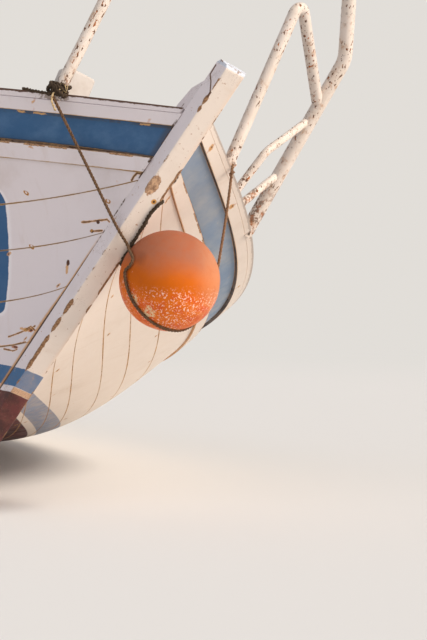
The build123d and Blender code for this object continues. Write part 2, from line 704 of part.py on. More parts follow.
# Risers along the frames and the thwarts that sit on them
RISER_Z, RISER_DEEP, RISER_THICK = 150.0, 75.0, 20.0
RISER_STATIONS = (-2230.0, -2800.0, -3500.0, -4300.0, -5080.0)
for side_name, side in SIDES.items():
    with BuildPart() as riser:
        sections = []
        for x in RISER_STATIONS:
            face = min(inner_reach(x, z, 12.0) for z in (RISER_Z, RISER_Z + RISER_DEEP))
            with BuildSketch(Plane(origin=(x, 0, 0), x_dir=(0, 1, 0), z_dir=(1, 0, 0))) as section:
                with Locations((side * (face - RISER_THICK / 2), RISER_Z + RISER_DEEP / 2)):
                    Rectangle(RISER_THICK, RISER_DEEP)
            sections.append(section.sketch)
        loft(sections, ruled=True)
    keep(riser.part, f"riser_{side_name}")

THWART_STATIONS = (-2850.0, -4930.0)
THWART_WIDE, THWART_THICK = 240.0, 32.0
with BuildPart() as thwarts:
    for x in THWART_STATIONS:
        low_z = RISER_Z + RISER_DEEP + 1
        ends = [
            inner_reach(x + shift, z, 14.0)
            for shift in (THWART_WIDE / 2, -THWART_WIDE / 2) for z in (low_z, low_z + THWART_THICK)
        ]
        half = min(ends)
        with BuildSketch(Plane.XY.offset(low_z)):
            with Locations((x, 0)):
                Rectangle(THWART_WIDE, 2 * half)
        extrude(amount=THWART_THICK)
    fillet(thwarts.edges().filter_by(Axis.Y), 8)
keep(thwarts.part, "thwarts")

# Engine, a plain block with its gearbox, on two bearers
ENGINE_FORE, ENGINE_AFT, ENGINE_HALF = -3790.0, -4380.0, 178.0
ENGINE_LOW, ENGINE_HIGH = -313.0, 150.0
GEARBOX_RADIUS, FLANGE_RADIUS = 105.0, 55.0
SHAFT_END = 1560.0
with BuildPart() as engine:
    with BuildSketch(Plane.XZ):
        with BuildLine():
            Polyline(
                (ENGINE_FORE, ENGINE_LOW + 60), (ENGINE_FORE, ENGINE_HIGH), (ENGINE_AFT, ENGINE_HIGH),
                (ENGINE_AFT, ENGINE_LOW), (ENGINE_FORE - 120, ENGINE_LOW), (ENGINE_FORE, ENGINE_LOW + 60),
            )
        make_face()
    extrude(amount=ENGINE_HALF, both=True)
    with BuildSketch(SHAFT_PLANE.offset(SHAFT_END + 60)):
        Circle(GEARBOX_RADIUS)
    extrude(amount=150)
    with BuildSketch(SHAFT_PLANE.offset(SHAFT_END + 2)):
        Circle(FLANGE_RADIUS)
    extrude(amount=80)
    with Locations((-3900, 0, floor_top + 72), (-4280, 0, floor_top + 72)):
        Box(70, 2 * (ENGINE_HALF + 66), 14, align=(Align.CENTER, Align.CENTER, Align.MIN))
keep(engine.part, "engine")

with BuildPart() as engine_bearers:
    with Locations((box_middle, 215, floor_top + 1), (box_middle, -215, floor_top + 1)):
        Box(940, 66, 70, align=(Align.CENTER, Align.CENTER, Align.MIN))
keep(engine_bearers.part, "engine_bearers")

# Fore hatch: coaming through the deck and a lid hinged at its fore edge
hatch_middle = (HATCH_FORE + HATCH_AFT) / 2
hatch_length = HATCH_FORE - HATCH_AFT
HATCH_LOW = deck_height(hatch_middle, 0) - 70.0
HATCH_TOP = deck_height(HATCH_FORE, 0) + 75.0
with BuildPart() as hatch_coaming:
    with BuildSketch(Plane.XY.offset(HATCH_LOW)):
        with Locations((hatch_middle, 0)):
            Rectangle(hatch_length - 2, 2 * HATCH_HALF - 2)
            Rectangle(hatch_length - 2 - 2 * BOARD, 2 * (HATCH_HALF - 1 - BOARD), mode=Mode.SUBTRACT)
    extrude(amount=HATCH_TOP - HATCH_LOW)
keep(hatch_coaming.part, "hatch_coaming")

with BuildPart() as hatch_lid:
    with BuildSketch(Plane.XY.offset(HATCH_TOP + 1)):
        with Locations((hatch_middle - LID_OVERLAP / 2, 0)):
            Rectangle(hatch_length + LID_OVERLAP, 2 * (HATCH_HALF + LID_OVERLAP))
    extrude(amount=LID_THICK)
    fillet(hatch_lid.edges().filter_by(Axis.Z), 8)
    fillet(hatch_lid.faces().sort_by(Axis.Z)[-1].edges(), 5)
keep(hatch_lid.part, "hatch_lid")

# Breasthook between the planks behind the stem
BREASTHOOK_LOW, BREASTHOOK_HIGH = 225.0, 145.0
with BuildPart() as breasthook:
    sections = []
    for drop in (BREASTHOOK_LOW, BREASTHOOK_HIGH):
        z = CAP_AT_STEM - drop
        fore = z * STEM_SLOPE - STEM_DEPTH / cos(radians(STEM_RAKE)) - 4
        aft = fore - 150
        corners = []
        for x in (fore, aft):
            half, _ = inner_outline(x, (level_at(x, z),), 0.0, 14.0, 12.0)[0]
            corners.append((x, half))
        with BuildSketch(Plane.XY.offset(z)) as section:
            with BuildLine():
                Polyline(*(corners + [(x, -y) for x, y in corners[::-1]] + corners[:1]))
            make_face()
        sections.append(section.sketch)
    loft(sections, ruled=True)
    for plank in planks_of(("wale", "bulwark", "rub", "cap")):
        add(plank, mode=Mode.SUBTRACT)
keep(breasthook.part.solids().sort_by(SortBy.VOLUME)[-1], "breasthook")

# Bitt on the foredeck and a pair of posts aft
BITT_X, BITT_Y, BITT_WIDE, BITT_DEEP, BITT_TOP = -90.0, -272.0, 130.0, 100.0, 1206.0
with BuildPart() as bitt:
    low_z = deck_height(BITT_X + BITT_DEEP / 2, abs(BITT_Y) - BITT_WIDE / 2) + 2
    with Locations((BITT_X, BITT_Y, low_z)):
        Box(BITT_DEEP, BITT_WIDE, BITT_TOP - low_z, align=(Align.CENTER, Align.CENTER, Align.MIN))
    chamfer(bitt.faces().sort_by(Axis.Z)[-1].edges(), 9)
keep(bitt.part, "bitt")

STERN_POST_X, STERN_POST_Y, STERN_POST_RISE = -5900.0, 620.0, 330.0
with BuildPart() as stern_posts:
    for side in SIDES.values():
        low_z = deck_height(STERN_POST_X - 35, STERN_POST_Y - 35) + 2
        with Locations((STERN_POST_X, side * STERN_POST_Y, low_z)):
            Box(70, 70, STERN_POST_RISE, align=(Align.CENTER, Align.CENTER, Align.MIN))
        with Locations((STERN_POST_X, side * STERN_POST_Y, low_z + STERN_POST_RISE - 90)):
            Cylinder(13, 190, rotation=(0, 90, 0))
keep(stern_posts.part, "stern_posts")


def tube(path_points, bends, radius):
    """A round tube along straight runs with a bend at each corner."""
    with BuildLine() as path:
        if bends:
            FilletPolyline(*path_points, radius=bends)
        else:
            Polyline(*path_points)
    with BuildSketch(Plane(origin=path.line @ 0, z_dir=path.line % 0)) as section:
        Circle(radius)
    return sweep(section.sketch, path=path.line, mode=Mode.PRIVATE)


# Pulpit of painted pipe: an arch over the bow with a stay and two braces on the port side
ARCH_TOP = 2090.0
SMALL_PIPE, LARGE_PIPE, BRACE_PIPE = 48.3 / 2, 60.3 / 2, 33.7 / 2
STARBOARD_FOOT = (218.8, -435.5, 988.0)
ARCH_CORNER = (350.0, -386.0, ARCH_TOP)
ARCH_PORT = (318.0, 505.0, ARCH_TOP)
PORT_KNEE = (215.0, 700.0, 1723.0)
PORT_FOOT = (-76.0, 700.0, 918.0)
STAY_FOOT = (302.0, 320.0, 1010.0)
STAY_TOP = (382.0, 320.0, 1800.0)
BRACE_JOINT = (137.0, 700.0, 1510.0)
PIPE_BEND = 130.0

with BuildPart() as pulpit_port_post:
    add(tube((PORT_FOOT, PORT_KNEE, ARCH_PORT), PIPE_BEND, LARGE_PIPE))
    for plank in planks_of(("rub", "cap"), ("port",)):
        add(plank, mode=Mode.SUBTRACT)
port_post = pulpit_port_post.part.solids().sort_by(SortBy.VOLUME)[-1]
keep(port_post, "pulpit_port_post")

with BuildPart() as pulpit_arch:
    add(tube((STARBOARD_FOOT, ARCH_CORNER, ARCH_PORT), PIPE_BEND, SMALL_PIPE))
    for plank in planks_of(("rub", "cap"), ("starboard",)) + [port_post]:
        add(plank, mode=Mode.SUBTRACT)
keep(pulpit_arch.part.solids().sort_by(SortBy.VOLUME)[-1], "pulpit_arch")

with BuildPart() as pulpit_stay:
    add(tube((STAY_FOOT, STAY_TOP, BRACE_JOINT), 40.0, SMALL_PIPE))
    for plank in planks_of(("rub", "cap"), ("port",)) + [port_post]:
        add(plank, mode=Mode.SUBTRACT)
keep(pulpit_stay.part.solids().sort_by(SortBy.VOLUME)[-1], "pulpit_stay")

UPPER_BRACE = ((174.0, 455.0, 982.0), (226.0, 500.0, 1200.0), (112.0, 690.0, 1440.0))
LOWER_BRACE = ((124.0, 520.0, 966.0), (23.0, 690.0, 1190.0))
for label, points, bends in (("pulpit_upper_brace", UPPER_BRACE, 70.0), ("pulpit_lower_brace", LOWER_BRACE, None)):
    with BuildPart() as brace:
        add(tube(points, bends, BRACE_PIPE))
        for plank in planks_of(("rub", "cap"), ("port",)) + [port_post]:
            add(plank, mode=Mode.SUBTRACT)
    keep(brace.part.solids().sort_by(SortBy.VOLUME)[-1], label)

# Buoy, hung against the port bow, with a sling of rope
BUOY_CENTRE = Vector(395.0, 217.0, 501.0)
BUOY_RADIUS = 195.0
DIMPLE_DIRECTION = Vector(0.56, -0.80, 0.20)
SLING_DOWN = Vector(0.126, 0.545, -0.829)
SLING_LEFT = Vector(0.001, -0.836, -0.549)
ROPE_RADIUS = 6.0
SLING_CORNER = 229.0
SLING_BEND = 188.0

with BuildPart() as buoy:
    with Locations(BUOY_CENTRE):
        Sphere(BUOY_RADIUS)
    with BuildSketch(Plane(origin=BUOY_CENTRE + DIMPLE_DIRECTION.normalized() * (BUOY_RADIUS + 4), z_dir=DIMPLE_DIRECTION * -1)):
        Circle(17)
    extrude(amount=34, taper=8, mode=Mode.SUBTRACT)
keep(buoy.part, "buoy")


def sling_point(angle):
    """A corner of the sling's route round the buoy, by degrees from its lowest point."""
    turn = radians(angle)
    return BUOY_CENTRE + (SLING_DOWN * cos(turn) + SLING_LEFT * sin(turn)) * SLING_CORNER


SLING_ANGLES = (97.0, 43.0, -11.0, -65.0)
rope_route = [(245.0, -458.0, 985.0), (374.0, -46.0, 620.0), (354.0, 16.0, 574.0)]
rope_route += [tuple(sling_point(angle)) for angle in SLING_ANGLES]
rope_route += [(393.0, 400.0, 640.0), (372.0, 340.0, 1035.0), (330.0, 345.0, 1052.0)]
rope_bends = [20.0, 30.0, 90.0, SLING_BEND, SLING_BEND, SLING_BEND, 150.0, 12.0]
with BuildPart() as buoy_sling:
    add(tube(rope_route, rope_bends, ROPE_RADIUS))
keep(buoy_sling.part, "buoy_sling")

# Lashing of the sling at the starboard foot of the arch, and the ring at the foot of the stay
foot_direction = (Vector(*ARCH_CORNER) - Vector(*STARBOARD_FOOT)).normalized()
with BuildPart() as lashing:
    for rise in (36.0, 50.0, 64.0):
        with Locations(Plane(origin=Vector(*STARBOARD_FOOT) + foot_direction * rise, z_dir=foot_direction)):
            Torus(SMALL_PIPE + 8.0, 6.5)
keep(lashing.part, "lashing")

# Rudder, hung on two pairs of irons aft of the sternpost, and its tiller
HINGE_X = -6398.0
RUDDER_FORE = HINGE_X - 26.0
RUDDER_THICK = 40.0
IRON_RADIUS, PIN_RADIUS, PIN_GAP = 21.0, 9.5, 0.09
IRON_HEIGHTS = (-330.0, 330.0)
RUDDER_LOW, RUDDER_HEAD, RUDDER_CHORD = -575.0, 985.0, 400.0
TILLER_Z, TILLER_DEEP, TILLER_WIDE = 925.0, 52.0, 46.0
TILLER_FORE = -5480.0

with BuildPart() as rudder:
    with BuildSketch(Plane.XZ):
        with BuildLine():
            Polyline(
                (RUDDER_FORE, RUDDER_LOW), (RUDDER_FORE, RUDDER_HEAD), (RUDDER_FORE - 130, RUDDER_HEAD),
                (RUDDER_FORE - 150, 330),
            )
            ThreePointArc((RUDDER_FORE - 150, 330), (RUDDER_FORE - 215, 120), (RUDDER_FORE - RUDDER_CHORD, -60))
            Polyline((RUDDER_FORE - RUDDER_CHORD, -60), (RUDDER_FORE - RUDDER_CHORD, RUDDER_LOW + 90))
            ThreePointArc(
                (RUDDER_FORE - RUDDER_CHORD, RUDDER_LOW + 90), (RUDDER_FORE - RUDDER_CHORD + 28, RUDDER_LOW + 26),
                (RUDDER_FORE - RUDDER_CHORD + 90, RUDDER_LOW),
            )
            Line((RUDDER_FORE - RUDDER_CHORD + 90, RUDDER_LOW), (RUDDER_FORE, RUDDER_LOW))
        make_face()
    extrude(amount=RUDDER_THICK / 2, both=True)
    with Locations((RUDDER_FORE - 65, 0, TILLER_Z)):
        Box(200, TILLER_WIDE * 0.62, TILLER_DEEP + 1, mode=Mode.SUBTRACT)
keep(rudder.part, "rudder")

with BuildPart() as tiller:
    sections = []
    for x, z, wide, deep in (
        (RUDDER_FORE - 150, TILLER_Z, 0.6, 1.0), (RUDDER_FORE + 2, TILLER_Z, 0.6, 1.0),
        (RUDDER_FORE + 60, TILLER_Z + 2, 0.95, 1.0), (TILLER_FORE, TILLER_Z + 70, 0.62, 0.62),
    ):
        with BuildSketch(Plane(origin=(x, 0, z), x_dir=(0, 1, 0), z_dir=(1, 0, 0))) as section:
            Rectangle(TILLER_WIDE * wide, TILLER_DEEP * deep)
        sections.append(section.sketch)
    loft(sections, ruled=True)
keep(tiller.part, "tiller")

with BuildPart() as gudgeons:
    for z in IRON_HEIGHTS:
        with Locations((HINGE_X, 0, z)):
            Cylinder(IRON_RADIUS, 34)
        with Locations((TRANSOM_X - POST_DEPTH - 1, 0, z)):
            Box(TRANSOM_X - POST_DEPTH - 1 - HINGE_X, 24, 34, align=(Align.MAX, Align.CENTER, Align.CENTER))
        for side in SIDES.values():
            with Locations((TRANSOM_X - POST_DEPTH - 6, side * (POST_SIDING / 2 + 3.5), z)):
                Box(POST_DEPTH + 3, 5, 34, align=(Align.MIN, Align.CENTER, Align.CENTER))
        with Locations((TRANSOM_X - POST_DEPTH - 3.5, 0, z)):
            Box(5, POST_SIDING + 12, 34)
        with Locations((HINGE_X, 0, z)):
            Cylinder(PIN_RADIUS + PIN_GAP, 60, mode=Mode.SUBTRACT)
keep(gudgeons.part, "gudgeons")

with BuildPart() as pintles:
    for z in IRON_HEIGHTS:
        strap_z = z + 17 + 3 + 17
        with Locations((HINGE_X, 0, z + 20 - 52)):
            Cylinder(PIN_RADIUS, 52 + 17, align=(Align.CENTER, Align.CENTER, Align.MIN))
        with Locations((HINGE_X, 0, strap_z)):
            Cylinder(IRON_RADIUS - 3, 34)
        with Locations((RUDDER_FORE + 4, 0, strap_z)):
            Box(abs(RUDDER_FORE + 4 - HINGE_X), 24, 34, align=(Align.MIN, Align.CENTER, Align.CENTER))
        with Locations((RUDDER_FORE + 3.5, 0, strap_z)):
            Box(5, RUDDER_THICK + 12, 34)
        for side in SIDES.values():
            with Locations((RUDDER_FORE - 60, side * (RUDDER_THICK / 2 + 3.5), strap_z)):
                Box(132, 5, 34)
keep(pintles.part, "pintles")

# Propeller, three twisted blades on a hub, and its shaft
HUB_RADIUS, HUB_LENGTH, PROP_PITCH = 31.0, 88.0, 230.0
# Blade sections: distance from the axis, chord and thickness
BLADE_SECTIONS = ((22.0, 62.0, 13.0), (60.0, 96.0, 10.0), (105.0, 122.0, 7.0), (143.0, 96.0, 5.0), (164.0, 40.0, 3.0))
with BuildPart() as propeller:
    Cylinder(HUB_RADIUS, HUB_LENGTH)
    fillet(propeller.edges().filter_by(GeomType.CIRCLE), 9)
    sections = []
    for reach, chord, thickness in BLADE_SECTIONS:
        twist = atan2(PROP_PITCH, 2 * pi * reach)
        with BuildSketch(Plane(origin=(reach, 0, 0), x_dir=(0, cos(twist), sin(twist)), z_dir=(1, 0, 0))) as section:
            with BuildLine():
                ThreePointArc((-chord / 2, 0), (0, thickness / 2), (chord / 2, 0))
                ThreePointArc((chord / 2, 0), (0, -thickness / 2), (-chord / 2, 0))
            make_face()
        sections.append(section.sketch)
    blade = loft(sections, mode=Mode.PRIVATE)
    with PolarLocations(0, 3):
        add(blade)
    Cylinder(SHAFT_RADIUS, HUB_LENGTH * 2, mode=Mode.SUBTRACT)
keep(SHAFT_PLANE.location * propeller.part, "propeller")

with BuildPart() as propeller_shaft:
    with BuildSketch(SHAFT_PLANE.offset(-HUB_LENGTH / 2 - 30)):
        Circle(SHAFT_RADIUS)
    extrude(amount=SHAFT_END + HUB_LENGTH / 2 + 30)
    with BuildSketch(SHAFT_PLANE.offset(-HUB_LENGTH / 2 - 31)):
        RegularPolygon(26, 6)
    extrude(amount=29)
keep(propeller_shaft.part, "propeller_shaft")
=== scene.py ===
import random
from math import cos, exp, pi, radians, sin, sqrt, tan, tanh

import bmesh
import bpy
from mathutils import Matrix, Vector, noise


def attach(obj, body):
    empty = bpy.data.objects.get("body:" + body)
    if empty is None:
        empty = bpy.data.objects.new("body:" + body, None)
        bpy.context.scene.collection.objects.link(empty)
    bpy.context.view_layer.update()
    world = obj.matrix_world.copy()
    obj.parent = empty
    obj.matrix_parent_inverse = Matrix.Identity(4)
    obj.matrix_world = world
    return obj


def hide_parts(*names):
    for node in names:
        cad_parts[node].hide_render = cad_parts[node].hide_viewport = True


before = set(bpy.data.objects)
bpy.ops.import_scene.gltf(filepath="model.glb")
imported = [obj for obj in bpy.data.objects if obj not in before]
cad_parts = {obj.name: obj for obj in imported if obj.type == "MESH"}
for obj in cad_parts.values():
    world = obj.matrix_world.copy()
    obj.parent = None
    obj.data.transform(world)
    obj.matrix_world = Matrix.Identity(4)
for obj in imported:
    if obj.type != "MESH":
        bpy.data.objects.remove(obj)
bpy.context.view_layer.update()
random.seed(7)

# The boat's own frame in millimetres, as drawn, and the way it lies in the row's frame in metres
HEEL = radians(23.53)
GROUND_SHIFT = Vector((3040.6, -167.4, 567.0))
STEM_RAKE = radians(30.32)
RABBET_SETBACK = 70.0
STEM_FACE, STEM_SIDING, STEM_DEPTH, APRON_SIDING = 83.0, 124.0, 215.0, 66.0
STEM_HEAD, STEM_SOLE = 1270.0, -588.4
HEAD_CHAMFER = 1460.0
TRANSOM_X = -6300.0
HULL_RUN = 6900.0
PLANK = 25.0
SEAM = 0.5
CAP_THICK, CAP_WIDTH, CAP_OVERHANG = 24.0, 104.0, 4.0
# Lower edges of the painted bands under the sheer: far aft, and what is added at the stem
RUB_BOTTOM, BLUE_BOTTOM, WALE_BOTTOM = (64.0, 10.0), (163.0, 40.0), (218.0, 46.0)
RUB_PROUD, BLUE_PROUD, WALE_PROUD = 4.0, -12.0, 10.0
SIDES = {"port": 1, "starboard": -1}
STARBOARD_SEAMS = (
    (0.10, 0.10), (0.215, 0.215), (0.352, 0.352), (0.512, 0.48), (0.662, 0.632), (0.805, 0.735),
)
PORT_SEAMS = (
    (0.10, 0.10), (0.20, 0.20), (0.29, 0.29), (0.375, 0.37), (0.47, 0.455),
    (0.56, 0.52), (0.65, 0.62), (0.735, 0.70), (0.805, 0.785),
)
# The sheer's lowest height and where along the run it is
SHEER_LOW, SHEER_LOW_AT = 585.0, 3640.0
# Half the keel's breadth under the planks, and what is added at the stem
KEEL_HALF, KEEL_ADDED = 50.0, 12.0
# Hull lines: height at the stem, breadth, growth per metre and its power, loss aft, height aft,
# settling and rise of the run
HULL_LINES = (
    (-420.0, 0.0, 1.0, 1.0, 0.0, -440.0, 2.2222, 385.0),
    (87.1, 1080.1, 0.6019, 1.6461, 0.45, -232.1, 0.5569, 215.0),
    (593.3, 1400.2, 0.6293, 1.9612, 0.35, -142.9, 0.6247, 60.0),
    (1100.4, 1308.2, 0.8673, 1.0, 0.28, None, None, 0.0),
)
BUOY_CENTRE, BUOY_RADIUS = Vector((396.4, 219.4, 502.0)), 199.0
DIMPLE = Vector((0.30, -0.95, 0.03)).normalized()
ARCH_FOOT, ARCH_CORNER = Vector((218.8, -435.5, 988.0)), Vector((350.0, -386.0, 2090.0))
PIPE_RADIUS = 48.3 / 2


def at(x, y, z):
    """Boat frame millimetres to row frame metres."""
    across = y * cos(HEEL) + z * sin(HEEL)
    up = -y * sin(HEEL) + z * cos(HEEL)
    return (Vector((x, across, up)) + GROUND_SHIFT) / 1000.0


def turned(x, y, z):
    """A direction of the boat frame in the row frame."""
    return Vector((x, y * cos(HEEL) + z * sin(HEEL), -y * sin(HEEL) + z * cos(HEEL)))


def run_share(s, start, power):
    return max(0.0, (s - start) / (HULL_RUN - start)) ** power


def sheer_height(s):
    rise = 0.0389e-3 if s < SHEER_LOW_AT else 0.0150e-3
    return SHEER_LOW + rise * (s - SHEER_LOW_AT) ** 2


def line_point(line, s):
    stem_z, full, growth, power, loss, aft_z, settle, rise = line
    metres = max(s, 0.0) / 1000.0
    x_start = stem_z * tan(STEM_RAKE) - RABBET_SETBACK
    x = x_start + (TRANSOM_X - x_start) * s / HULL_RUN
    if aft_z is None:
        z = sheer_height(s)
    elif full == 0.0:
        z = stem_z + (aft_z - stem_z) * (1 - exp(-settle * metres))
    else:
        z = stem_z + (aft_z - stem_z) * tanh(settle * metres)
    z += rise * run_share(s, 3900.0, 1.8)
    if full == 0.0:
        y = KEEL_HALF + KEEL_ADDED * exp(-2.0 * metres)
    else:
        y = STEM_SIDING / 2 + full * tanh(growth * metres) ** power * (1 - loss * run_share(s, 3200.0, 2.2))
    return Vector((x, y, z))


def hull_point(s, v):
    """A point of the hull to port: s along its run from the stem, v from 0 at the keel to 1 at the sheer."""
    low, lower, upper, high = [line_point(line, s) for line in HULL_LINES]
    return low * (1 - v) ** 3 + lower * (3 * v * (1 - v) ** 2) + upper * (3 * v * v * (1 - v)) + high * v ** 3


def outward(s, v):
    """The direction out of the hull at a point."""
    s = max(s, 10.0)
    v = min(max(v, 0.01), 0.99)
    along = hull_point(s + 10, v) - hull_point(s - 10, v)
    up = hull_point(s, v + 0.01) - hull_point(s, v - 0.01)
    normal = up.cross(along).normalized()
    return normal if normal.y > 0 else -normal


def level_of_depth(s, depth):
    """The v that lies this far below the sheer."""
    low, high = 0.0, 1.0
    for _ in range(26):
        mid = (low + high) / 2
        if sheer_height(s) - hull_point(s, mid).z > depth:
            low = mid
        else:
            high = mid
    return (low + high) / 2


def linear(part):
    return ((part / 255 + 0.055) / 1.055) ** 2.4 if part > 10 else part / 255 / 12.92


def srgb(*display):
    """A colour from its display values, 0 to 255."""
    return tuple(linear(part) for part in display)


# Camera at the photograph's place
EYE = (6810.0, -2849.0, -764.0)
RIGHT, UP, BACK = (0.4806, 0.8040, 0.3501), (-0.0264, -0.3858, 0.9222), (0.8766, -0.4524, -0.1642)
camera_data = bpy.data.cameras.new("camera")
camera = bpy.data.objects.new("camera", camera_data)
bpy.context.scene.collection.objects.link(camera)
columns = [turned(*axis) for axis in (RIGHT, UP, BACK)]
camera.matrix_world = Matrix.Translation(at(*EYE)) @ Matrix(columns).transposed().to_4x4()
camera_data.lens = 103.87
camera_data.sensor_width = 36.0
camera_data.clip_start, camera_data.clip_end = 0.1, 200.0
bpy.context.scene.camera = camera
bpy.context.scene.view_settings.view_transform = "Standard"


# Shader helpers
class Value:
    """An output socket that plain signs can add, subtract, multiply and divide."""

    def __init__(self, tree, socket):
        self.tree, self.socket = tree, socket

    def __add__(self, other):
        return self.tree.math("ADD", self, other)

    def __sub__(self, other):
        return self.tree.math("SUBTRACT", self, other)

    def __mul__(self, other):
        return self.tree.math("MULTIPLY", self, other)

    def __truediv__(self, other):
        return self.tree.math("DIVIDE", self, other)

    def __radd__(self, other):
        return self.tree.math("ADD", other, self)

    def __rsub__(self, other):
        return self.tree.math("SUBTRACT", other, self)

    def ramp(self, low, high, start=0.0, end=1.0):
        """Smooth step from start to end as the value goes from low to high."""
        made = self.tree.node("ShaderNodeMapRange", interpolation_type="SMOOTHSTEP", clamp=True)
        for item, socket in zip((self, low, high, start, end), made.inputs):
            self.tree.link(item, socket)
        return Value(self.tree, made.outputs[0])

    def window(self, start, end, soft):
        """One between start and end, with soft ends outside."""
        return self.ramp(start - soft, start) * self.ramp(end + soft, end)

    def within(self, low, high):
        return self.tree.math("MINIMUM", self.tree.math("MAXIMUM", self, low), high)


class Tree:
    """A small writer of shader nodes, with the colour that it has come to so far.

    Places are in metres: in the row's frame, and in the boat's frame where the material lies in that.
    """

    def __init__(self, owner, in_boat=False):
        owner.use_nodes = True
        self.owner, self.graph, self.colour = owner, owner.node_tree, None
        self.shader = self.graph.nodes.get("Principled BSDF") or self.graph.nodes["Background"]
        self.place = Value(self, self.node("ShaderNodeTexCoord").outputs["Object"])
        self.here = self.place
        if in_boat:
            turn = self.node("ShaderNodeVectorRotate", rotation_type="X_AXIS")
            self.link(self.vector("SUBTRACT", self.place, GROUND_SHIFT / 1000.0), turn.inputs["Vector"])
            turn.inputs["Angle"].default_value = HEEL
            self.here = Value(self, turn.outputs[0])
            self.ahead, self.across, self.level = self.split(self.here)

    def node(self, kind, **values):
        made = self.graph.nodes.new(kind)
        for key, value in values.items():
            setattr(made, key, value)
        return made

    def link(self, value, socket):
        if isinstance(value, Value):
            self.graph.links.new(value.socket, socket)
        elif isinstance(value, (tuple, list, Vector)) and len(value) == 3 and socket.type == "RGBA":
            socket.default_value = (*value, 1.0)
        else:
            socket.default_value = value

    def math(self, kind, a, b=0.0):
        made = self.node("ShaderNodeMath", operation=kind)
        self.link(a, made.inputs[0])
        self.link(b, made.inputs[1])
        return Value(self, made.outputs[0])

    def distance(self, a, b):
        return self.math("SQRT", self.math("POWER", a, 2.0) + self.math("POWER", b, 2.0))

    def most(self, *values):
        largest = values[0]
        for value in values[1:]:
            largest = self.math("MAXIMUM", largest, value)
        return largest

    def vector(self, kind, a, b=(0.0, 0.0, 0.0), output=0):
        made = self.node("ShaderNodeVectorMath", operation=kind)
        self.link(a, made.inputs[0])
        self.link(b, made.inputs[1])
        return Value(self, made.outputs[output])

    def length(self, a):
        return self.vector("LENGTH", a, output="Value")

    def share_along(self, a, b):
        return self.vector("DOT_PRODUCT", a, b, output="Value")

    def mix(self, share, a, b, kind="MIX"):
        made = self.node("ShaderNodeMix", data_type="RGBA", blend_type=kind)
        self.link(share, made.inputs[0])
        self.link(a, made.inputs[6])
        self.link(b, made.inputs[7])
        return Value(self, made.outputs[2])

    def cover(self, share, colour, kind="MIX"):
        """Lays a share of another colour over what is there."""
        self.colour = self.mix(share, self.colour, colour, kind)

    def noise(self, scale, detail=3.0, rough=0.55, stretch=None, distort=0.0, place=None):
        place = self.here if place is None else place
        if stretch:
            place = self.vector("MULTIPLY", place, stretch)
        made = self.node("ShaderNodeTexNoise")
        self.link(place, made.inputs["Vector"])
        for key, value in zip(
            ("Scale", "Detail", "Roughness", "Distortion"), (scale, detail, rough, distort),
        ):
            made.inputs[key].default_value = value
        return Value(self, made.outputs["Fac"])

    def split(self, place):
        made = self.node("ShaderNodeSeparateXYZ")
        self.link(place, made.inputs[0])
        return [Value(self, part) for part in made.outputs]

    def spot(self, centre, radii, ragged):
        """A ragged spot round a centre, both in the boat's millimetres."""
        away = self.vector("SUBTRACT", self.here, Vector(centre) / 1000.0)
        away = self.length(self.vector("MULTIPLY", away, [1000.0 / radius for radius in radii]))
        away = away + (self.noise(45.0, 5.0, 0.7) - 0.5) * (ragged * 3.0)
        return away.ramp(1.0, 0.75)

    def attribute(self, name):
        return Value(self, self.node("ShaderNodeAttribute", attribute_name=name).outputs["Vector"])

    def bump(self, height, strength, distance):
        made = self.node("ShaderNodeBump")
        self.link(height, made.inputs["Height"])
        made.inputs["Strength"].default_value = strength
        made.inputs["Distance"].default_value = distance
        return Value(self, made.outputs[0])

    def finish(self, rough, metal=0.0, normal=None, specular=0.4):
        for key, value in (("Base Color", self.colour), ("Roughness", rough), ("Metallic", metal)):
            self.link(value, self.shader.inputs[key])
        self.shader.inputs["Specular IOR Level"].default_value = specular
        if normal is not None:
            self.link(normal, self.shader.inputs["Normal"])
        return self.owner


def new_paint(name, in_boat=True):
    """The tree of a new material."""
    return Tree(bpy.data.materials.new(name), in_boat)


RUST, DEEP_RUST, OCHRE = srgb(172, 98, 42), srgb(78, 44, 28), srgb(206, 148, 70)
BARE_LIGHT, BARE_DARK = srgb(196, 154, 112), srgb(118, 82, 56)
# Painted shade and painted sunlight: the white paint as it looks in shade to starboard and in sun to port
WHITE_SHADE, WHITE_SUN = (0.735, 0.67, 0.685), (0.80, 0.70, 0.615)
BLUE_SHADE = srgb(48, 90, 132)
# Heights of the blue stripe's edges and of the red's upper edge, in the boat's frame in metres
STRIPE_TOP, STRIPE_LOW, RED_TOP = 0.002, -0.077, -0.099
# Metres along the planks from one frame's nails to the next, and to the first
NAIL_PITCH, FIRST_NAILS = 0.33, 0.075
LASHING_STAIN = (236, -462, 985), (60, 60, 40)
MAROON_DARK, MAROON, MAROON_PALE = srgb(66, 34, 32), srgb(104, 48, 46), srgb(132, 78, 68)


def grain(tree):
    """Fine lengthwise wood grain."""
    return tree.noise(14.0, 5.0, 0.6, (1.5, 12.0, 12.0), 0.6)


def bare_timber(tree):
    """Timber where the paint is gone, with dark pores."""
    return tree.mix(grain(tree).ramp(0.35, 0.65), BARE_DARK, BARE_LIGHT)


def white_paint(tree, port):
    """White paint as a painted shaded copy to starboard and a painted sunlit copy to port, with dirt in broad
    patches and faint runs.
    """
    tree.colour = tree.mix(port, WHITE_SHADE, WHITE_SUN)
    dirt = tree.noise(3.0, 6.0, 0.65).ramp(0.48, 0.8, 0.0, 0.38)
    tree.cover(dirt, (0.72, 0.64, 0.55), "MULTIPLY")
    runs = tree.noise(7.0, 5.0, 0.6, (4.0, 1.0, 0.5)).ramp(0.55, 0.85, 0.0, 0.3)
    tree.cover(runs, (0.74, 0.62, 0.5), "MULTIPLY")


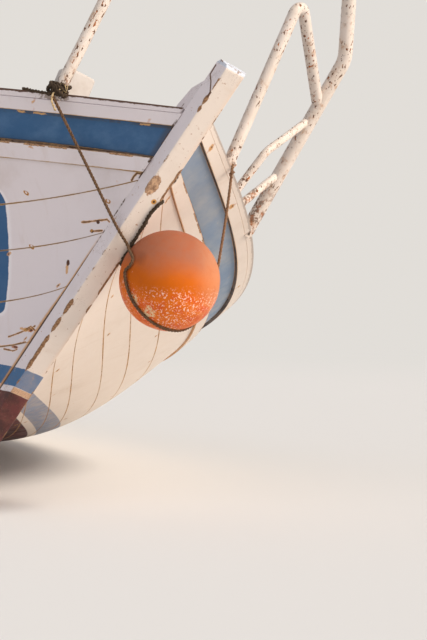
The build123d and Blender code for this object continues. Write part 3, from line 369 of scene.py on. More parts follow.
def boot_top(tree, port):
    """White above the waterline, a blue stripe, a pale line and dull red bottom paint under it."""
    wobble = (tree.noise(22.0, 3.0, 0.5) - 0.5) * 0.010 * (1.0 - port * 0.85)
    level = tree.level + wobble
    streak = tree.noise(26.0, 5.0, 0.65, (1.0, 1.0, 0.35)).ramp(0.35, 0.72)
    # To port, and in part on the stem's sunlit faces, the stripe takes a paler grey-blue: sun-faded paint and
    # painted sunlight both
    blue = tree.mix(port, srgb(60, 101, 142), tree.mix(streak, srgb(132, 142, 164), srgb(166, 158, 158)))
    worn = tree.noise(40.0, 6.0, 0.75).ramp(0.6, 0.68)
    blue = tree.mix(worn * 0.7, blue, srgb(176, 150, 128))
    red = tree.mix(tree.noise(9.0, 7.0, 0.7).ramp(0.35, 0.7), MAROON_DARK, MAROON)
    red = tree.mix(tree.noise(4.0, 6.0, 0.75, (0.6, 1.0, 2.0)).ramp(0.52, 0.78, 0.0, 0.75), red, MAROON_PALE)
    scale = tree.noise(75.0, 5.0, 0.7).ramp(0.64, 0.7)
    red = tree.mix(scale * 0.55, red, srgb(176, 158, 136))
    tree.cover(level.ramp(STRIPE_LOW, STRIPE_LOW + 0.003) * level.ramp(STRIPE_TOP, STRIPE_TOP - 0.003), blue)
    tree.cover(level.ramp(RED_TOP, RED_TOP - 0.003), red)


def seams(tree, run, from_low, from_high, port, port_edge, least):
    """Thin rusty lines where planks meet, browner where the paint has opened, and the line along the stem."""
    edge = tree.math("MINIMUM", from_low, from_high)
    ragged = edge + tree.noise(60.0, 4.0, 0.7) * -4.0
    dirty = tree.noise(2.4, 4.0, 0.6, (1.0, 3.0, 3.0)).ramp(0.4, 0.62, 0.4, 1.0)
    line = ragged.ramp(3.4, -0.4) * dirty
    tree.cover(line, tree.mix(port, srgb(190, 150, 92), srgb(208, 160, 104)))
    dashes = tree.noise(9.0, 4.0, 0.7, (1.0, 1.4, 1.4)).ramp(0.46, 0.58)
    steady = 0.7 + port * (least - 0.7)
    # The dark line at plank edges: a seam to starboard; to port its colour comes from PORT_EDGES and is in
    # part painted shadow and painted light
    seam_line_and_edge_shade = edge.ramp(2.2, 1.2) * tree.most(dashes, steady)
    tree.cover(seam_line_and_edge_shade, tree.mix(port, srgb(98, 70, 46), srgb(*port_edge)))
    low_down = tree.level.ramp(0.62, 0.4)
    wider = tree.level.ramp(0.4, 0.18) * (1.0 - port)
    uneven = (run + tree.noise(60.0, 3.0, 0.6) * 0.007) / (1.0 + wider * 1.1)
    shown = tree.most(tree.noise(20.0, 3.0, 0.6).ramp(0.5, 0.6), low_down)
    tree.cover(uneven.ramp(0.024, 0.014) * low_down * 0.8, srgb(204, 146, 74))
    tree.cover(uneven.ramp(0.012, 0.008) * shown, srgb(78, 52, 36))
    return seam_line_and_edge_shade


def nails(tree, run, from_low, from_high):
    """Nails in pairs at the frames, some ringed with rust and a few bleeding down the plank."""
    beat = tree.math("FRACT", (run - (FIRST_NAILS - NAIL_PITCH / 2)) / NAIL_PITCH)
    along = (beat - 0.5) * (NAIL_PITCH * 1000.0)
    lucky = tree.noise(3.1, 1.0, 0.5, (3.0, 5.0, 5.0)).ramp(0.56, 0.62)
    bent = (tree.noise(55.0, 3.0, 0.6) - 0.5) * 16.0
    for edge, inset in ((from_low, 26.0), (from_high, 20.0)):
        offset = edge - inset
        away = tree.distance(along, offset) + bent
        ring = away.ramp(12.0, 8.0) * away.ramp(2.0, 5.0) * lucky
        tree.cover(ring * 0.75, OCHRE)
        tree.cover(away.ramp(4.5, 2.0) * lucky, DEEP_RUST)
        drip = tree.math("ABSOLUTE", along).ramp(6.0, 1.0) * offset.window(-38.0, -6.0, 8.0)
        tree.cover(drip * lucky * 0.35, RUST)


def stroke(tree, along, depth, points):
    """Distance in millimetres from a broken line drawn in two of the surface's measures."""
    nearest = None
    for (a, b), (c, d) in zip(points, points[1:]):
        length = sqrt((c - a) ** 2 + (d - b) ** 2)
        east, north = (c - a) / length, (d - b) / length
        x, y = along - a, depth - b
        ahead = (x * east + y * north).within(0.0, length)
        gap = tree.distance(x - ahead * east, y - ahead * north)
        nearest = gap if nearest is None else tree.math("MINIMUM", nearest, gap)
    return nearest


# Marks on the starboard bow: centre and radii in the boat's millimetres
OPEN_NAILS = (((243, -89, 619), (8, 30, 8)), ((218, -88, 581), (8, 30, 8)), ((115, -90, 444), (9, 30, 14)))
HOOKS = (((0, -313, 648), 6.0), ((-37, -196, 468), 7.0), ((285, -96, 703), 7.0))
# Rust that has run along the planks, as lines in the boat's x and z
RUST_LINES = (
    ((-168.0, 114.0), (-102.0, 140.0), (-43.0, 164.0), (-14.0, 178.0)),
    ((-80.0, 153.0), (-40.0, 173.0), (-5.0, 160.0)),
    ((-212.0, 69.0), (-138.0, 85.0), (-50.0, 108.0)),
    ((-185.0, 63.0), (-123.0, 63.0), (-97.0, 72.0)),
    ((178.0, 603.0), (235.0, 621.0), (281.0, 636.0), (291.0, 630.0)),
    ((214.0, 579.0), (263.0, 591.0)),
)
# A split that leaves the top seam near the stem and climbs to the blue band
BOW_CRACK = ((470.0, 893.0), (469.0, 861.0), (444.0, 830.0), (397.0, 828.0), (385.0, 813.0), (376.0, 797.0))
OCHRE_MARKS = (((113, -90, 424), (9, 30, 30)), ((-64, -82, 156), (50, 30, 8)))
RUST_MARKS = (((30, -84, 190), (24, 30, 12)), ((-34, -74, 158), (20, 30, 9)), ((-112, -80, 80), (30, 30, 6)))
BLUE_EDGE_CHIPS = (
    (0.070, 0.145), (0.290, 0.345), (0.362, 0.425), (0.478, 0.505), (1.35, 1.44), (2.7, 2.78), (4.1, 4.25),
)
BLUE_TOP_CHIPS = ((0.070, 0.095), (0.378, 0.412), (0.440, 0.462), (1.9, 1.95), (3.3, 3.36))
BAR_TOP, BAR_FOOT, BAR_HALF_WIDTH = Vector((-0.130, 0.0, 0.600)), Vector((-0.232, 0.0, 0.235)), 0.045


def bow_marks(tree):
    """What shows on the starboard bow: rust, old nails and a plain blue bar."""
    flat = tree.vector("MULTIPLY", tree.here, (1.0, 0.0, 1.0))
    down = (BAR_FOOT - BAR_TOP).normalized()
    reach = tree.vector("SUBTRACT", flat, BAR_TOP)
    share = tree.share_along(reach, down).within(0.0, (BAR_FOOT - BAR_TOP).length)
    nearest = tree.vector("SCALE", down)
    tree.link(share, nearest.socket.node.inputs["Scale"])
    gap = tree.length(tree.vector("SUBTRACT", reach, nearest)) + tree.noise(35.0, 4.0, 0.6) * 0.006
    tree.cover(gap.ramp(BAR_HALF_WIDTH + 0.018, BAR_HALF_WIDTH + 0.006, 0.0, 0.5), (0.86, 0.84, 0.86))
    tree.cover(gap.ramp(BAR_HALF_WIDTH + 0.003, BAR_HALF_WIDTH), BLUE_SHADE)
    for centre, radius in HOOKS:
        reach = tree.vector("SUBTRACT", flat, Vector((centre[0], 0.0, centre[2])) / 1000.0)
        away = tree.length(reach) * 1000.0
        bent = tree.noise(60.0, 3.0, 0.6) * 4.0
        ring = tree.math("ABSOLUTE", away + bent - (radius + 2.0))
        lower = tree.split(reach)[2].ramp(0.008, 0.001)
        tree.cover(ring.ramp(3.8, 1.4) * lower, OCHRE)
        tree.cover(ring.ramp(1.8, 0.8) * lower, srgb(142, 92, 46))
    for centre, radii in OCHRE_MARKS:
        tree.cover(tree.spot(centre, radii, 0.7) * 0.8, OCHRE)
    for centre, radii in RUST_MARKS:
        tree.cover(tree.spot(centre, radii, 0.9) * 0.85, RUST)
        inner = (radii[0] * 0.45, radii[1], radii[2] * 0.4)
        tree.cover(tree.spot(centre, inner, 1.0), DEEP_RUST)
    x, z = tree.ahead * 1000.0, tree.level * 1000.0
    unsteady = tree.noise(42.0, 5.0, 0.7) * 11.0
    for points in RUST_LINES:
        gap = stroke(tree, x, z, points) - unsteady
        tree.cover(gap.ramp(0.0, -3.2) * 0.85, OCHRE)
        tree.cover(gap.ramp(-2.6, -4.6) * 0.9, DEEP_RUST)
    for centre, radii in OPEN_NAILS:
        tree.cover(tree.spot(centre, radii, 0.3), DEEP_RUST)


def bow_crack(tree, here):
    """The split near the stem, with rusty edges."""
    x, z = tree.ahead * 1000.0, tree.level * 1000.0
    gap = stroke(tree, x, z, BOW_CRACK) - tree.noise(70.0, 4.0, 0.7) * 4.0
    tree.cover(gap.ramp(3.4, 0.2) * here, srgb(190, 142, 84))
    tree.cover(gap.ramp(0.6, -0.6) * here, srgb(84, 58, 40))


# How the open edges of a band look to port, their colour and the least share of it: for the hull planks a
# lighter ochre seam, partly painted sunlight; for the wale a soft ochre seam with painted warm light on its
# underside; for the rub strake's lower edge and the blue band's edges a dark painted shadow line
PORT_EDGES = {
    "hull": ((150, 108, 70), 0.25), "wale": ((216, 164, 116), 0.60),
    "rub": ((84, 76, 76), 0.85), "blue": ((112, 112, 120), 0.25),
}


def plank_material(name, paint):
    """Painted planks: seams that let rust and dirt through, nails, scuffs and flaked spots.

    The mesh carries "plank": metres along the strake, millimetres from its lower and from its upper edge.
    """
    tree = new_paint(name)
    run, from_low, from_high = tree.split(tree.attribute("plank"))
    # The port share picks the painted sunlit copies of the paints, the starboard share their painted shaded
    # copies
    port = tree.across.ramp(-0.02, 0.02)
    starboard = 1.0 - port
    white_paint(tree, port)
    if paint == "blue":
        streaks = tree.noise(5.0, 6.0, 0.7, (0.6, 2.5, 2.5)).ramp(0.4, 0.8, 0.0, 0.5)
        shade = tree.mix(streaks, BLUE_SHADE, srgb(84, 120, 158))
        faded = tree.noise(2.2, 5.0, 0.6).ramp(0.38, 0.68)
        sunny = tree.mix(faded, srgb(126, 146, 170), srgb(168, 170, 172))
        scraped = tree.noise(12.0, 7.0, 0.75, (0.5, 1.5, 1.5)).ramp(0.6, 0.72, 0.0, 0.5)
        sunny = tree.mix(scraped, sunny, srgb(190, 176, 160))
        tree.colour = tree.mix(port, shade, sunny)
        shadow = run.ramp(0.03, 0.012) * starboard * 0.7
        tree.cover(shadow, srgb(66, 72, 88))
        # Painted shadow: a dark line along the lower edge of the recessed band
        lower = from_low + tree.noise(30.0, 4.0, 0.7) * -8.0
        tree.cover(lower.ramp(6.0, 1.0) * 0.75, srgb(62, 66, 78))
        ragged_top_edge = from_high + tree.noise(70.0, 5.0, 0.7) * -14.0
        torn = from_high + tree.noise(40.0, 4.0, 0.7) * -15.0
        torn_run = run + tree.noise(64.0, 4.0, 0.7) * -0.030
        places = [torn_run.window(start - 0.015, end - 0.015, 0.004) for start, end in BLUE_TOP_CHIPS]
        chipped = torn.window(-1.0, 5.5, 1.5) * tree.most(*places) * starboard
        # Painted shadow under the rub strake: a ragged dark line along the top edge to starboard, with dirt
        # in it, and a dark line along the top edge on both sides
        top_shade_and_dirt = ragged_top_edge.ramp(12.0, 6.0) * tree.noise(7.0, 4.0, 0.7).ramp(0.42, 0.55)
        tree.cover(top_shade_and_dirt * starboard * 0.6, srgb(70, 66, 66))
        tree.cover(from_high.ramp(5.0, 1.5) * 0.7, srgb(78, 66, 62))
        tree.cover(chipped, srgb(204, 160, 108))
    elif paint == "hull":
        boot_top(tree, port)
        plain = tree.colour
        bow_marks(tree)
        tree.colour = tree.mix(starboard, plain, tree.colour)
    if paint in ("hull", "wale"):
        bow_crack(tree, starboard)
    seam_above = 100.0 if paint == "rub" else from_high
    seam_line_and_edge_shade = seams(tree, run, from_low, seam_above, port, *PORT_EDGES[paint])
    if paint != "blue":
        nails(tree, run, from_low, from_high)
    chips = tree.noise(24.0, 8.0, 0.75).ramp(0.765, 0.78)
    if paint == "wale":
        lumpy = from_high + tree.noise(80.0, 5.0, 0.7) * -9.0
        here = tree.most(*[run.window(start, end, 0.006) for start, end in BLUE_EDGE_CHIPS])
        chips = tree.most(chips, lumpy.ramp(4.0, 2.0) * here)
        ragged = lumpy.ramp(-2.0, -4.0) * tree.noise(6.0, 4.0, 0.7).ramp(0.44, 0.52)
        tree.cover(ragged, srgb(96, 66, 46))
    tree.cover(chips, bare_timber(tree))
    height = tree.noise(40.0, 5.0, 0.6, (0.4, 1.5, 1.5)) - chips * 0.8 - seam_line_and_edge_shade * 0.8
    rough = tree.noise(12.0, 4.0, place=tree.place).ramp(0.3, 0.7, 0.48, 0.72)
    return tree.finish(rough, normal=tree.bump(height, 0.4, 0.0015))


# Where the stem's starboard corner has lost its paint, and its port corner, in millimetres along the stem
STARBOARD_CHIPS = ((5, 176), (196, 264), (286, 360), (1264, 1288), (1298, 1336), (-560, -420), (-330, -240))
PORT_CHIPS = ((420, 590), (330, 372), (872, 1030), (-600, -500))
# A crack and small pits on the head's starboard side, in millimetres along the stem and behind its face
HEAD_CRACK = ((1440.0, 55.0), (1399.0, 53.0), (1383.0, 30.0), (1351.0, 2.0), (1330.0, 0.0))
# The large bare patch on the stem's starboard corner, as middle and radius along and across it, and a nail
BARE_PATCH, STEM_NAIL = ((922.0, 47.0), (-26.0, 25.0)), (865.0, 16.0)
HEAD_PITS = ((1277.0, 123.0), (1318.0, 76.0), (1347.0, 61.0), (1222.0, 165.0), (1240.0, 120.0))


def stem_material():
    """The painted stem: bare wood at its worn corners, one large bare patch, and the boot-top across it.

    The mesh carries "timber": millimetres along it, behind its face and across it.
    """
    tree = new_paint("stem_paint")
    along, depth, across = tree.split(tree.attribute("timber"))
    sunny = tree.most(depth.ramp(3.0, 0.5), across.ramp(38.0, 44.0))
    white_paint(tree, sunny)
    pits = tree.noise(60.0, 5.0, 0.7).ramp(0.635, 0.67)
    tree.cover(pits * 0.8, srgb(168, 122, 88))
    # Painted sunlight: a warm tint over the port half of the stem's face
    painted_sun_warmth = across.ramp(20.0, 44.0) * depth.ramp(6.0, 0.0) * 0.22
    tree.cover(painted_sun_warmth, srgb(226, 172, 128))
    boot_top(tree, sunny * 0.55)
    bare = bare_timber(tree)
    pale = tree.level.window(RED_TOP, STRIPE_LOW - 0.001, 0.002) * depth.ramp(8.0, 2.0)
    tree.cover(pale, tree.mix(0.5, bare, srgb(232, 192, 160)))
    lumps = tree.noise(38.0, 6.0, 0.7) * -14.0
    patchy = tree.noise(11.0, 4.0, 0.7).ramp(0.52, 0.6)
    gone = []
    for table, corner in (
        (STARBOARD_CHIPS, depth + tree.math("MAXIMUM", across + STEM_FACE / 2, 0.0)),
        (PORT_CHIPS, depth + tree.math("MAXIMUM", STEM_FACE / 2 - across, 0.0)),
    ):
        edge = corner + lumps
        here = tree.most(*[along.window(start + 16.0, end - 16.0, 30.0) for start, end in table])
        limit = here * 11.0 - 8.5
        gone.append((edge - limit).ramp(1.0, -1.0))
        gone.append(edge.ramp(-2.5, -4.5) * patchy)
    (patch_along, long), (patch_across, wide) = BARE_PATCH
    patch = tree.distance((along - patch_along) / long, (across - depth - patch_across) / wide)
    patch = (patch + (tree.noise(48.0, 5.0, 0.7) - 0.5) * 1.1).ramp(1.02, 0.97)
    flaked = tree.most(patch, *gone)
    grey_wood = tree.mix(tree.noise(60.0, 5.0, 0.7).ramp(0.35, 0.65), srgb(134, 102, 80), srgb(206, 168, 134))
    tree.cover(flaked, tree.mix(patch, tree.mix(0.6, BARE_DARK, bare), grey_wood))
    nail = tree.distance(along - STEM_NAIL[0], across - STEM_NAIL[1]) + depth * 4.0
    tree.cover(nail.ramp(13.0, 9.0), OCHRE)
    tree.cover(nail.ramp(6.0, 4.0), DEEP_RUST)
    split_gap = stroke(tree, along, depth, HEAD_CRACK) - tree.noise(50.0, 4.0, 0.7) * 3.5
    split_line = split_gap.ramp(2.2, 0.8) * across.ramp(-35.0, -38.0)
    tree.cover(split_line, srgb(98, 70, 52))
    for centre in HEAD_PITS:
        pit = stroke(tree, along, depth, (centre, (centre[0] - 12.0, centre[1] + 3.0))) - 2.2
        tree.cover(pit.ramp(1.5, 0.0) * across.ramp(-30.0, -32.0), srgb(104, 80, 66))
    # Painted skylight: the chamfered top of the head in a cool bluish white, with bare patches
    top = (along + depth * 0.2).ramp(HEAD_CHAMFER + 1.0, HEAD_CHAMFER + 4.0)
    bare_top = tree.noise(45.0, 5.0, 0.7).ramp(0.56, 0.62)
    tree.cover(top, tree.mix(bare_top, (0.6, 0.64, 0.72), srgb(150, 128, 116)))
    veins = tree.noise(9.0, 7.0, 0.8, (1.0, 2.0, 1.0))
    crack = veins.window(0.505, 0.507, 0.005) * tree.noise(2.0, 2.0, 0.5).ramp(0.55, 0.62)
    tree.cover(crack * 0.7, srgb(110, 78, 54))
    height = tree.noise(30.0, 5.0, 0.6) - flaked * 0.9 + patch * grain(tree) * 0.6
    return tree.finish(flaked.ramp(0.0, 1.0, 0.52, 0.82), normal=tree.bump(height, 0.5, 0.002))


def cap_material():
    """The cap rail: white, its outer top corner worn to dark wood in a ragged line."""
    tree = new_paint("cap_paint")
    from_corner = tree.split(tree.attribute("plank"))[1]
    # The port share picks the painted sunlit copy of the white paint
    port = tree.across.ramp(-0.02, 0.02)
    white_paint(tree, port)
    edge = from_corner + tree.noise(34.0, 6.0, 0.72) * -16.0
    worn = edge.ramp(0.5, -1.5) * tree.math("MINIMUM", 1.35 - port, 1.0)
    patches = tree.noise(15.0, 8.0, 0.75).ramp(0.66, 0.68)
    tree.cover(patches, bare_timber(tree))
    tree.cover(worn, srgb(92, 66, 54))
    tree.cover(tree.spot(*LASHING_STAIN, 0.9) * 0.7, srgb(116, 92, 70))
    flaked = tree.most(worn, patches)
    height = tree.noise(40.0, 5.0, 0.6) - flaked
    return tree.finish(0.6, normal=tree.bump(height, 0.5, 0.0015))


def painted_wood(name, paint=None, wear=0.5, boards=None):
    """Painted timber with bare worn places; boards is the axis across them and their width in metres."""
    tree = new_paint(name)
    if paint is None:
        # A fixed blend of the painted shaded and sunlit copies of the white paint
        white_paint(tree, 0.35)
    else:
        dirt = tree.noise(5.0, 6.0, 0.65).ramp(0.4, 0.75, 0.0, 0.6)
        tree.colour = tree.mix(dirt, paint, (0.62, 0.54, 0.45), "MULTIPLY")
    bare = bare_timber(tree)
    flaked = tree.noise(18.0, 8.0, 0.72).ramp(0.8 - wear * 0.2, 0.83 - wear * 0.2)
    tree.cover(flaked, bare)
    height = flaked * -0.7 + grain(tree) * 0.3
    if boards:
        axis, wide = boards
        place = tree.math("FRACT", (tree.ahead, tree.across, tree.level)[axis] / wide)
        gap = tree.math("ABSOLUTE", place - 0.5) * 2.0
        groove = gap.ramp(1.0 - 0.006 / wide, 1.0 - 0.003 / wide)
        worn = gap.ramp(1.0 - 0.03 / wide, 1.0) * tree.noise(12.0, 6.0, 0.7).ramp(0.45, 0.62)
        tree.cover(worn * 0.8, bare)
        tree.cover(groove, srgb(58, 46, 38))
        height = height - groove * 2.0
    return tree.finish(0.62, normal=tree.bump(height, 0.4, 0.0015))


def bare_wood(name, light, dark):
    tree = new_paint(name)
    tree.colour = tree.mix(grain(tree).ramp(0.3, 0.7), dark, light)
    tree.cover(tree.noise(4.0, 5.0, 0.6).ramp(0.45, 0.75, 0.0, 0.5), srgb(150, 142, 134))
    return tree.finish(0.7, normal=tree.bump(grain(tree), 0.45, 0.001))


def pipe_paint(name):
    """Cream paint on steel pipe, with rows of rust pits, blotches and brown feet."""
    tree = new_paint(name)
    tree.colour = tree.mix(tree.noise(7.0, 4.0, 0.6).ramp(0.35, 0.7), (0.72, 0.63, 0.56), (0.64, 0.55, 0.47))
    stain = tree.noise(24.0, 6.0, 0.7).ramp(0.52, 0.7, 0.0, 0.7)
    tree.cover(stain, srgb(206, 164, 124), "MULTIPLY")
    where = tree.noise(6.0, 3.0, 0.6).ramp(0.36, 0.5)
    dots = tree.noise(75.0, 2.0, 0.5, (1.3, 1.3, 0.7)).ramp(0.605, 0.63)
    blotch = tree.noise(26.0, 8.0, 0.75, (1.2, 1.2, 0.7)).ramp(0.66, 0.68)
    foot = tree.level.ramp(1.17, 1.03) * tree.noise(36.0, 5.0, 0.7).ramp(0.5, 0.56)
    rusty = tree.most(dots * where, blotch, foot * 0.85)
    tree.cover(rusty, tree.mix(tree.noise(30.0, place=tree.place).ramp(0.45, 0.7), srgb(96, 66, 46), RUST))
    normal = tree.bump(rusty * -1.0, 0.5, 0.001)
    return tree.finish(rusty.ramp(0.0, 1.0, 0.42, 0.85), normal=normal)


def metal(name, tint, rough, share=1.0):
    tree = new_paint(name, False)
    tree.colour = tree.mix(tree.noise(16.0, 6.0, 0.65).ramp(0.35, 0.75), tint, [part * 0.55 for part in tint])
    uneven = tree.noise(40.0, 4.0).ramp(0.3, 0.7, rough, rough + 0.2)
    return tree.finish(uneven, share, tree.bump(tree.noise(60.0, 5.0), 0.2, 0.001))


def rope_material(name, light, dark):
    tree = new_paint(name, False)
    fibre = tree.noise(300.0, 3.0, 0.6)
    tree.colour = tree.mix(fibre.ramp(0.3, 0.7), dark, light)
    tree.cover(tree.noise(12.0, 4.0).ramp(0.5, 0.75, 0.0, 0.6), srgb(120, 92, 68))
    return tree.finish(0.85, normal=tree.bump(fibre, 0.5, 0.0008), specular=0.2)


def buoy_material():
    """Orange plastic: dusty pink above, sun-faded and darkened there as painted shade, deep orange at the
    middle, scuffed red-orange below, and lighter on the side that looks to the sun as painted sunlight.
    """
    tree = new_paint("buoy_plastic")
    reach = tree.vector("SUBTRACT", tree.here, BUOY_CENTRE / 1000.0)
    reach = tree.vector("MULTIPLY", reach, [1000.0 / BUOY_RADIUS] * 3)
    rise = tree.share_along(reach, BUOY_UP)
    level = rise + (tree.noise(7.0, 5.0, 0.65) - 0.5) * 0.5
    tree.colour = tree.mix(level.ramp(-0.05, -0.45), srgb(200, 96, 0), srgb(226, 112, 22))
    # The top in a darker dusty pink-brown: sun-faded plastic and painted shade
    tree.cover(level.ramp(0.0, 0.62), srgb(160, 98, 72))
    # Painted sunlight: the side that looks to the sun is lighter
    sunny = tree.share_along(reach, BUOY_SUNNY)
    tree.cover(sunny.ramp(0.35, 0.95, 0.0, 0.6), srgb(204, 144, 108))
    mottle = tree.noise(30.0, 5.0, 0.7).ramp(0.4, 0.75, 0.0, 0.3)
    tree.cover(mottle, srgb(178, 82, 30))
    red = level.ramp(-0.08, -0.4) * tree.noise(26.0, 5.0, 0.7).ramp(0.44, 0.6) * 0.55
    tree.cover(red, srgb(206, 62, 28))
    low = level.ramp(0.0, -0.3) * tree.noise(11.0, 4.0, 0.6).ramp(0.36, 0.54)
    speck = tree.noise(135.0, 3.0, 0.6).ramp(0.585, 0.615)
    scuff = tree.noise(70.0, 5.0, 0.7, (1.0, 1.3, 0.8)).ramp(0.6, 0.63)
    white = tree.most(speck, scuff) * low
    rare = tree.noise(75.0, 4.0, 0.6).ramp(0.7, 0.73) * level.ramp(0.25, -0.2)
    tree.cover(tree.most(white, rare) * 0.85, srgb(250, 222, 204))
    crust = tree.most(*[tree.spot(centre, (radius,) * 3, 1.0) for centre, radius in BARNACLES])
    crust = crust * tree.noise(90.0, 5.0, 0.7).ramp(0.44, 0.52)
    tree.cover(crust, srgb(226, 196, 152))
    height = tree.most(white, crust) * 0.8 + tree.noise(90.0, 4.0, 0.6)
    rough = level.ramp(-0.5, 0.6, 0.45, 0.65)
    return tree.finish(rough, normal=tree.bump(height, 0.18, 0.001), specular=0.15)


# Directions from the ball's middle: to its top, faded and darkened as painted shade, and to the side that
# looks to the sun, which is painted lighter
BUOY_UP, BUOY_SUNNY = Vector((0.10, -0.30, 0.95)).normalized(), Vector((0.42, 0.84, 0.34)).normalized()
BARNACLES = [
    (BUOY_CENTRE + Vector(place).normalized() * BUOY_RADIUS, radius)
    for place, radius in (((84, -74, -160), 30), ((44, -132, -130), 22))
]
MATERIALS = {
    "hull": plank_material("hull_planks", "hull"),
    "wale": plank_material("wale_white", "wale"),
    "rub": plank_material("rub_white", "rub"),
    "blue_band": plank_material("blue_band", "blue"),
    "stem": stem_material(),
    "cap": cap_material(),
    "white_wood": painted_wood("white_wood"),
    "box_wood": painted_wood("box_wood", None, 0.5, (2, 0.118)),
    "bitt_wood": painted_wood("bitt_wood", (0.60, 0.55, 0.51), 0.85),
    "deck": painted_wood("deck_grey", srgb(160, 166, 168), 0.55, (1, 0.085)),
    "sole": painted_wood("sole_grey", srgb(150, 152, 148), 0.75),
    "maroon": painted_wood("maroon_wood", MAROON, 0.3),
    "timber": bare_wood("timber", srgb(180, 148, 112), srgb(128, 98, 70)),
    "dark_timber": bare_wood("dark_timber", srgb(150, 120, 92), srgb(98, 74, 54)),
    "pipe": pipe_paint("pipe_paint"),
    "bronze": metal("bronze", (0.52, 0.36, 0.17), 0.35),
    "steel": metal("steel", (0.55, 0.54, 0.52), 0.3),
    "engine": metal("engine_paint", (0.07, 0.20, 0.13), 0.45, 0.0),
    "rope": rope_material("rope", srgb(128, 98, 72), srgb(66, 48, 36)),
    # The sling rope's port leg and knot: a lighter copy of the rope, painted sunlight
    "pale_rope": rope_material("pale_rope", srgb(156, 120, 92), srgb(98, 72, 52)),
    "dark_rope": rope_material("dark_rope", srgb(86, 70, 54), srgb(40, 32, 27)),
    "straw": rope_material("straw", srgb(228, 206, 164), srgb(160, 126, 78)),
    "buoy": buoy_material(),
}


# Mesh helpers
def add_mesh(name, points, faces, material, smooth_angle=35.0):
    mesh = bpy.data.meshes.new(name)
    mesh.from_pydata(points, [], faces)
    mesh.validate()
    return add_object(name, mesh, material, smooth_angle)


def add_object(name, mesh, material, smooth_angle):
    mesh.materials.clear()
    mesh.materials.append(MATERIALS[material])
    for polygon in mesh.polygons:
        polygon.use_smooth = True
    mesh.set_sharp_from_angle(angle=radians(smooth_angle))
    made = bpy.data.objects.new(name, mesh)
    bpy.context.scene.collection.objects.link(made)
    return made


def carry(mesh, name, places):
    """Keeps a vector for each point of a mesh, for its material."""
    attribute = mesh.attributes.new(name, "FLOAT_VECTOR", "POINT")
    attribute.data.foreach_set("vector", [part for place in places for part in place])


def skin(sections, start=0):
    """Points and faces of a closed form through loops of equal length, with both ends closed."""
    count = len(sections[0])
    points = [point for section in sections for point in section]
    faces = [tuple(range(start, start + count))]
    for index in range(len(sections) - 1):
        base = start + index * count
        for corner in range(count):
            after = (corner + 1) % count
            faces.append((base + corner, base + count + corner, base + count + after, base + after))
    last = start + (len(sections) - 1) * count
    faces.append(tuple(range(last + count - 1, last - 1, -1)))
    return points, faces


def joined(forms):
    """Points and faces of several closed forms."""
    points, faces = [], []
    for sections in forms:
        own_points, own_faces = skin(sections, len(points))
        points += own_points
        faces += own_faces
    return points, faces


def circle(centre, across, up, size, sides):
    """Points evenly round a centre."""
    turns = [2 * pi * corner / sides for corner in range(sides)]
    return [centre + (across * cos(turn) + up * sin(turn)) * size for turn in turns]


def bevelled(form, edges, corner):
    """Rounds edges of a form, in metres."""
    bmesh.ops.bevel(
        form, geom=edges, offset=corner, segments=2, profile=0.6, affect="EDGES", clamp_overlap=True,
    )


def mesh_of(form, mesh):
    form.to_mesh(mesh)
    form.free()
    return mesh


def stand_for(made, nodes, body="root"):
    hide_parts(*nodes)
    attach(made, body)


def add_piece(made, body="root"):
    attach(made, body)


# Planking, drawn again with finer seams and closer steps near the stem
HULL_STEPS = [0.5 + 6889.5 * (step / 120) ** 1.5 for step in range(121)]
CHAMFER = 1.0
STRAKE_ROWS = 8


def strake(lower, upper, side, proud=0.0, thick=PLANK):
    """Sections of one plank along the hull, and the place of each of their points on it."""
    sections, places = [], []
    for s in HULL_STEPS:
        v_low, v_high = lower(s), upper(s)
        height = (hull_point(s, v_high) - hull_point(s, v_low)).length
        gap = SEAM / 2 / height * (v_high - v_low)
        chamfer = CHAMFER / height * (v_high - v_low)
        levels = [(v_low + gap, -thick), (v_low + gap, -CHAMFER)]
        for row in range(STRAKE_ROWS):
            share = row / (STRAKE_ROWS - 1)
            levels.append((v_low + gap + chamfer + (v_high - v_low - 2 * gap - 2 * chamfer) * share, 0.0))
        levels += [(v_high - gap, -CHAMFER), (v_high - gap, -thick)]
        section = []
        for v, depth in levels:
            point = hull_point(s, v) + outward(s, v) * (proud + depth)
            section.append(at(point.x, point.y * side, point.z))
            share = (v - v_low) / (v_high - v_low)
            places.append((s / 1000.0, share * height, (1 - share) * height))
        sections.append(section)
    return sections, places


def add_strakes(name, bands, material):
    """One object of several planks."""
    planks = [strake(*band) for band in bands]
    made = add_mesh(name, *joined([sections for sections, _ in planks]), material)
    carry(made.data, "plank", [place for _, places in planks for place in places])
    return made


def depth_edge(aft, added=0.0):
    """The edge of a band, which widens towards the stem."""
    return lambda s: level_of_depth(s, aft + added * exp(-s / 280.0))


def seam_edge(pair):
    return lambda s: pair[1] + (pair[0] - pair[1]) * exp(-2.0 * s / 1000.0)


BANDS = (
    ("wale", WALE_BOTTOM, BLUE_BOTTOM, WALE_PROUD, PLANK + WALE_PROUD, "wale", "white_paint"),
    ("bulwark_plank", BLUE_BOTTOM, RUB_BOTTOM, BLUE_PROUD, PLANK, "blue_band", "blue_paint"),
    ("rub_strake", RUB_BOTTOM, (CAP_THICK,), RUB_PROUD, PLANK + RUB_PROUD, "rub", "white_paint"),
)
for side_name, side in SIDES.items():
    plank_seams = PORT_SEAMS if side > 0 else STARBOARD_SEAMS
    edges = [lambda s: 0.0] + [seam_edge(pair) for pair in plank_seams] + [depth_edge(*WALE_BOTTOM)]
    planks = [(low, high, side) for low, high in zip(edges, edges[1:])]
    bottom_count = 3 if side < 0 else 4
    for label, own, slot in (
        ("bottom", planks[:bottom_count], "maroon_paint"), ("topside", planks[bottom_count:], "white_paint"),
    ):
        made = add_strakes(f"{label}_{side_name}", own, "hull")
        stand_for(made, [f"{label}_planks_{side_name}"])
    for label, low, high, proud, thick, material, slot in BANDS:
        band = (depth_edge(*low), depth_edge(*high), side, proud, thick)
        stand_for(add_strakes(f"{label}_skin_{side_name}", [band], material), [f"{label}_{side_name}"])

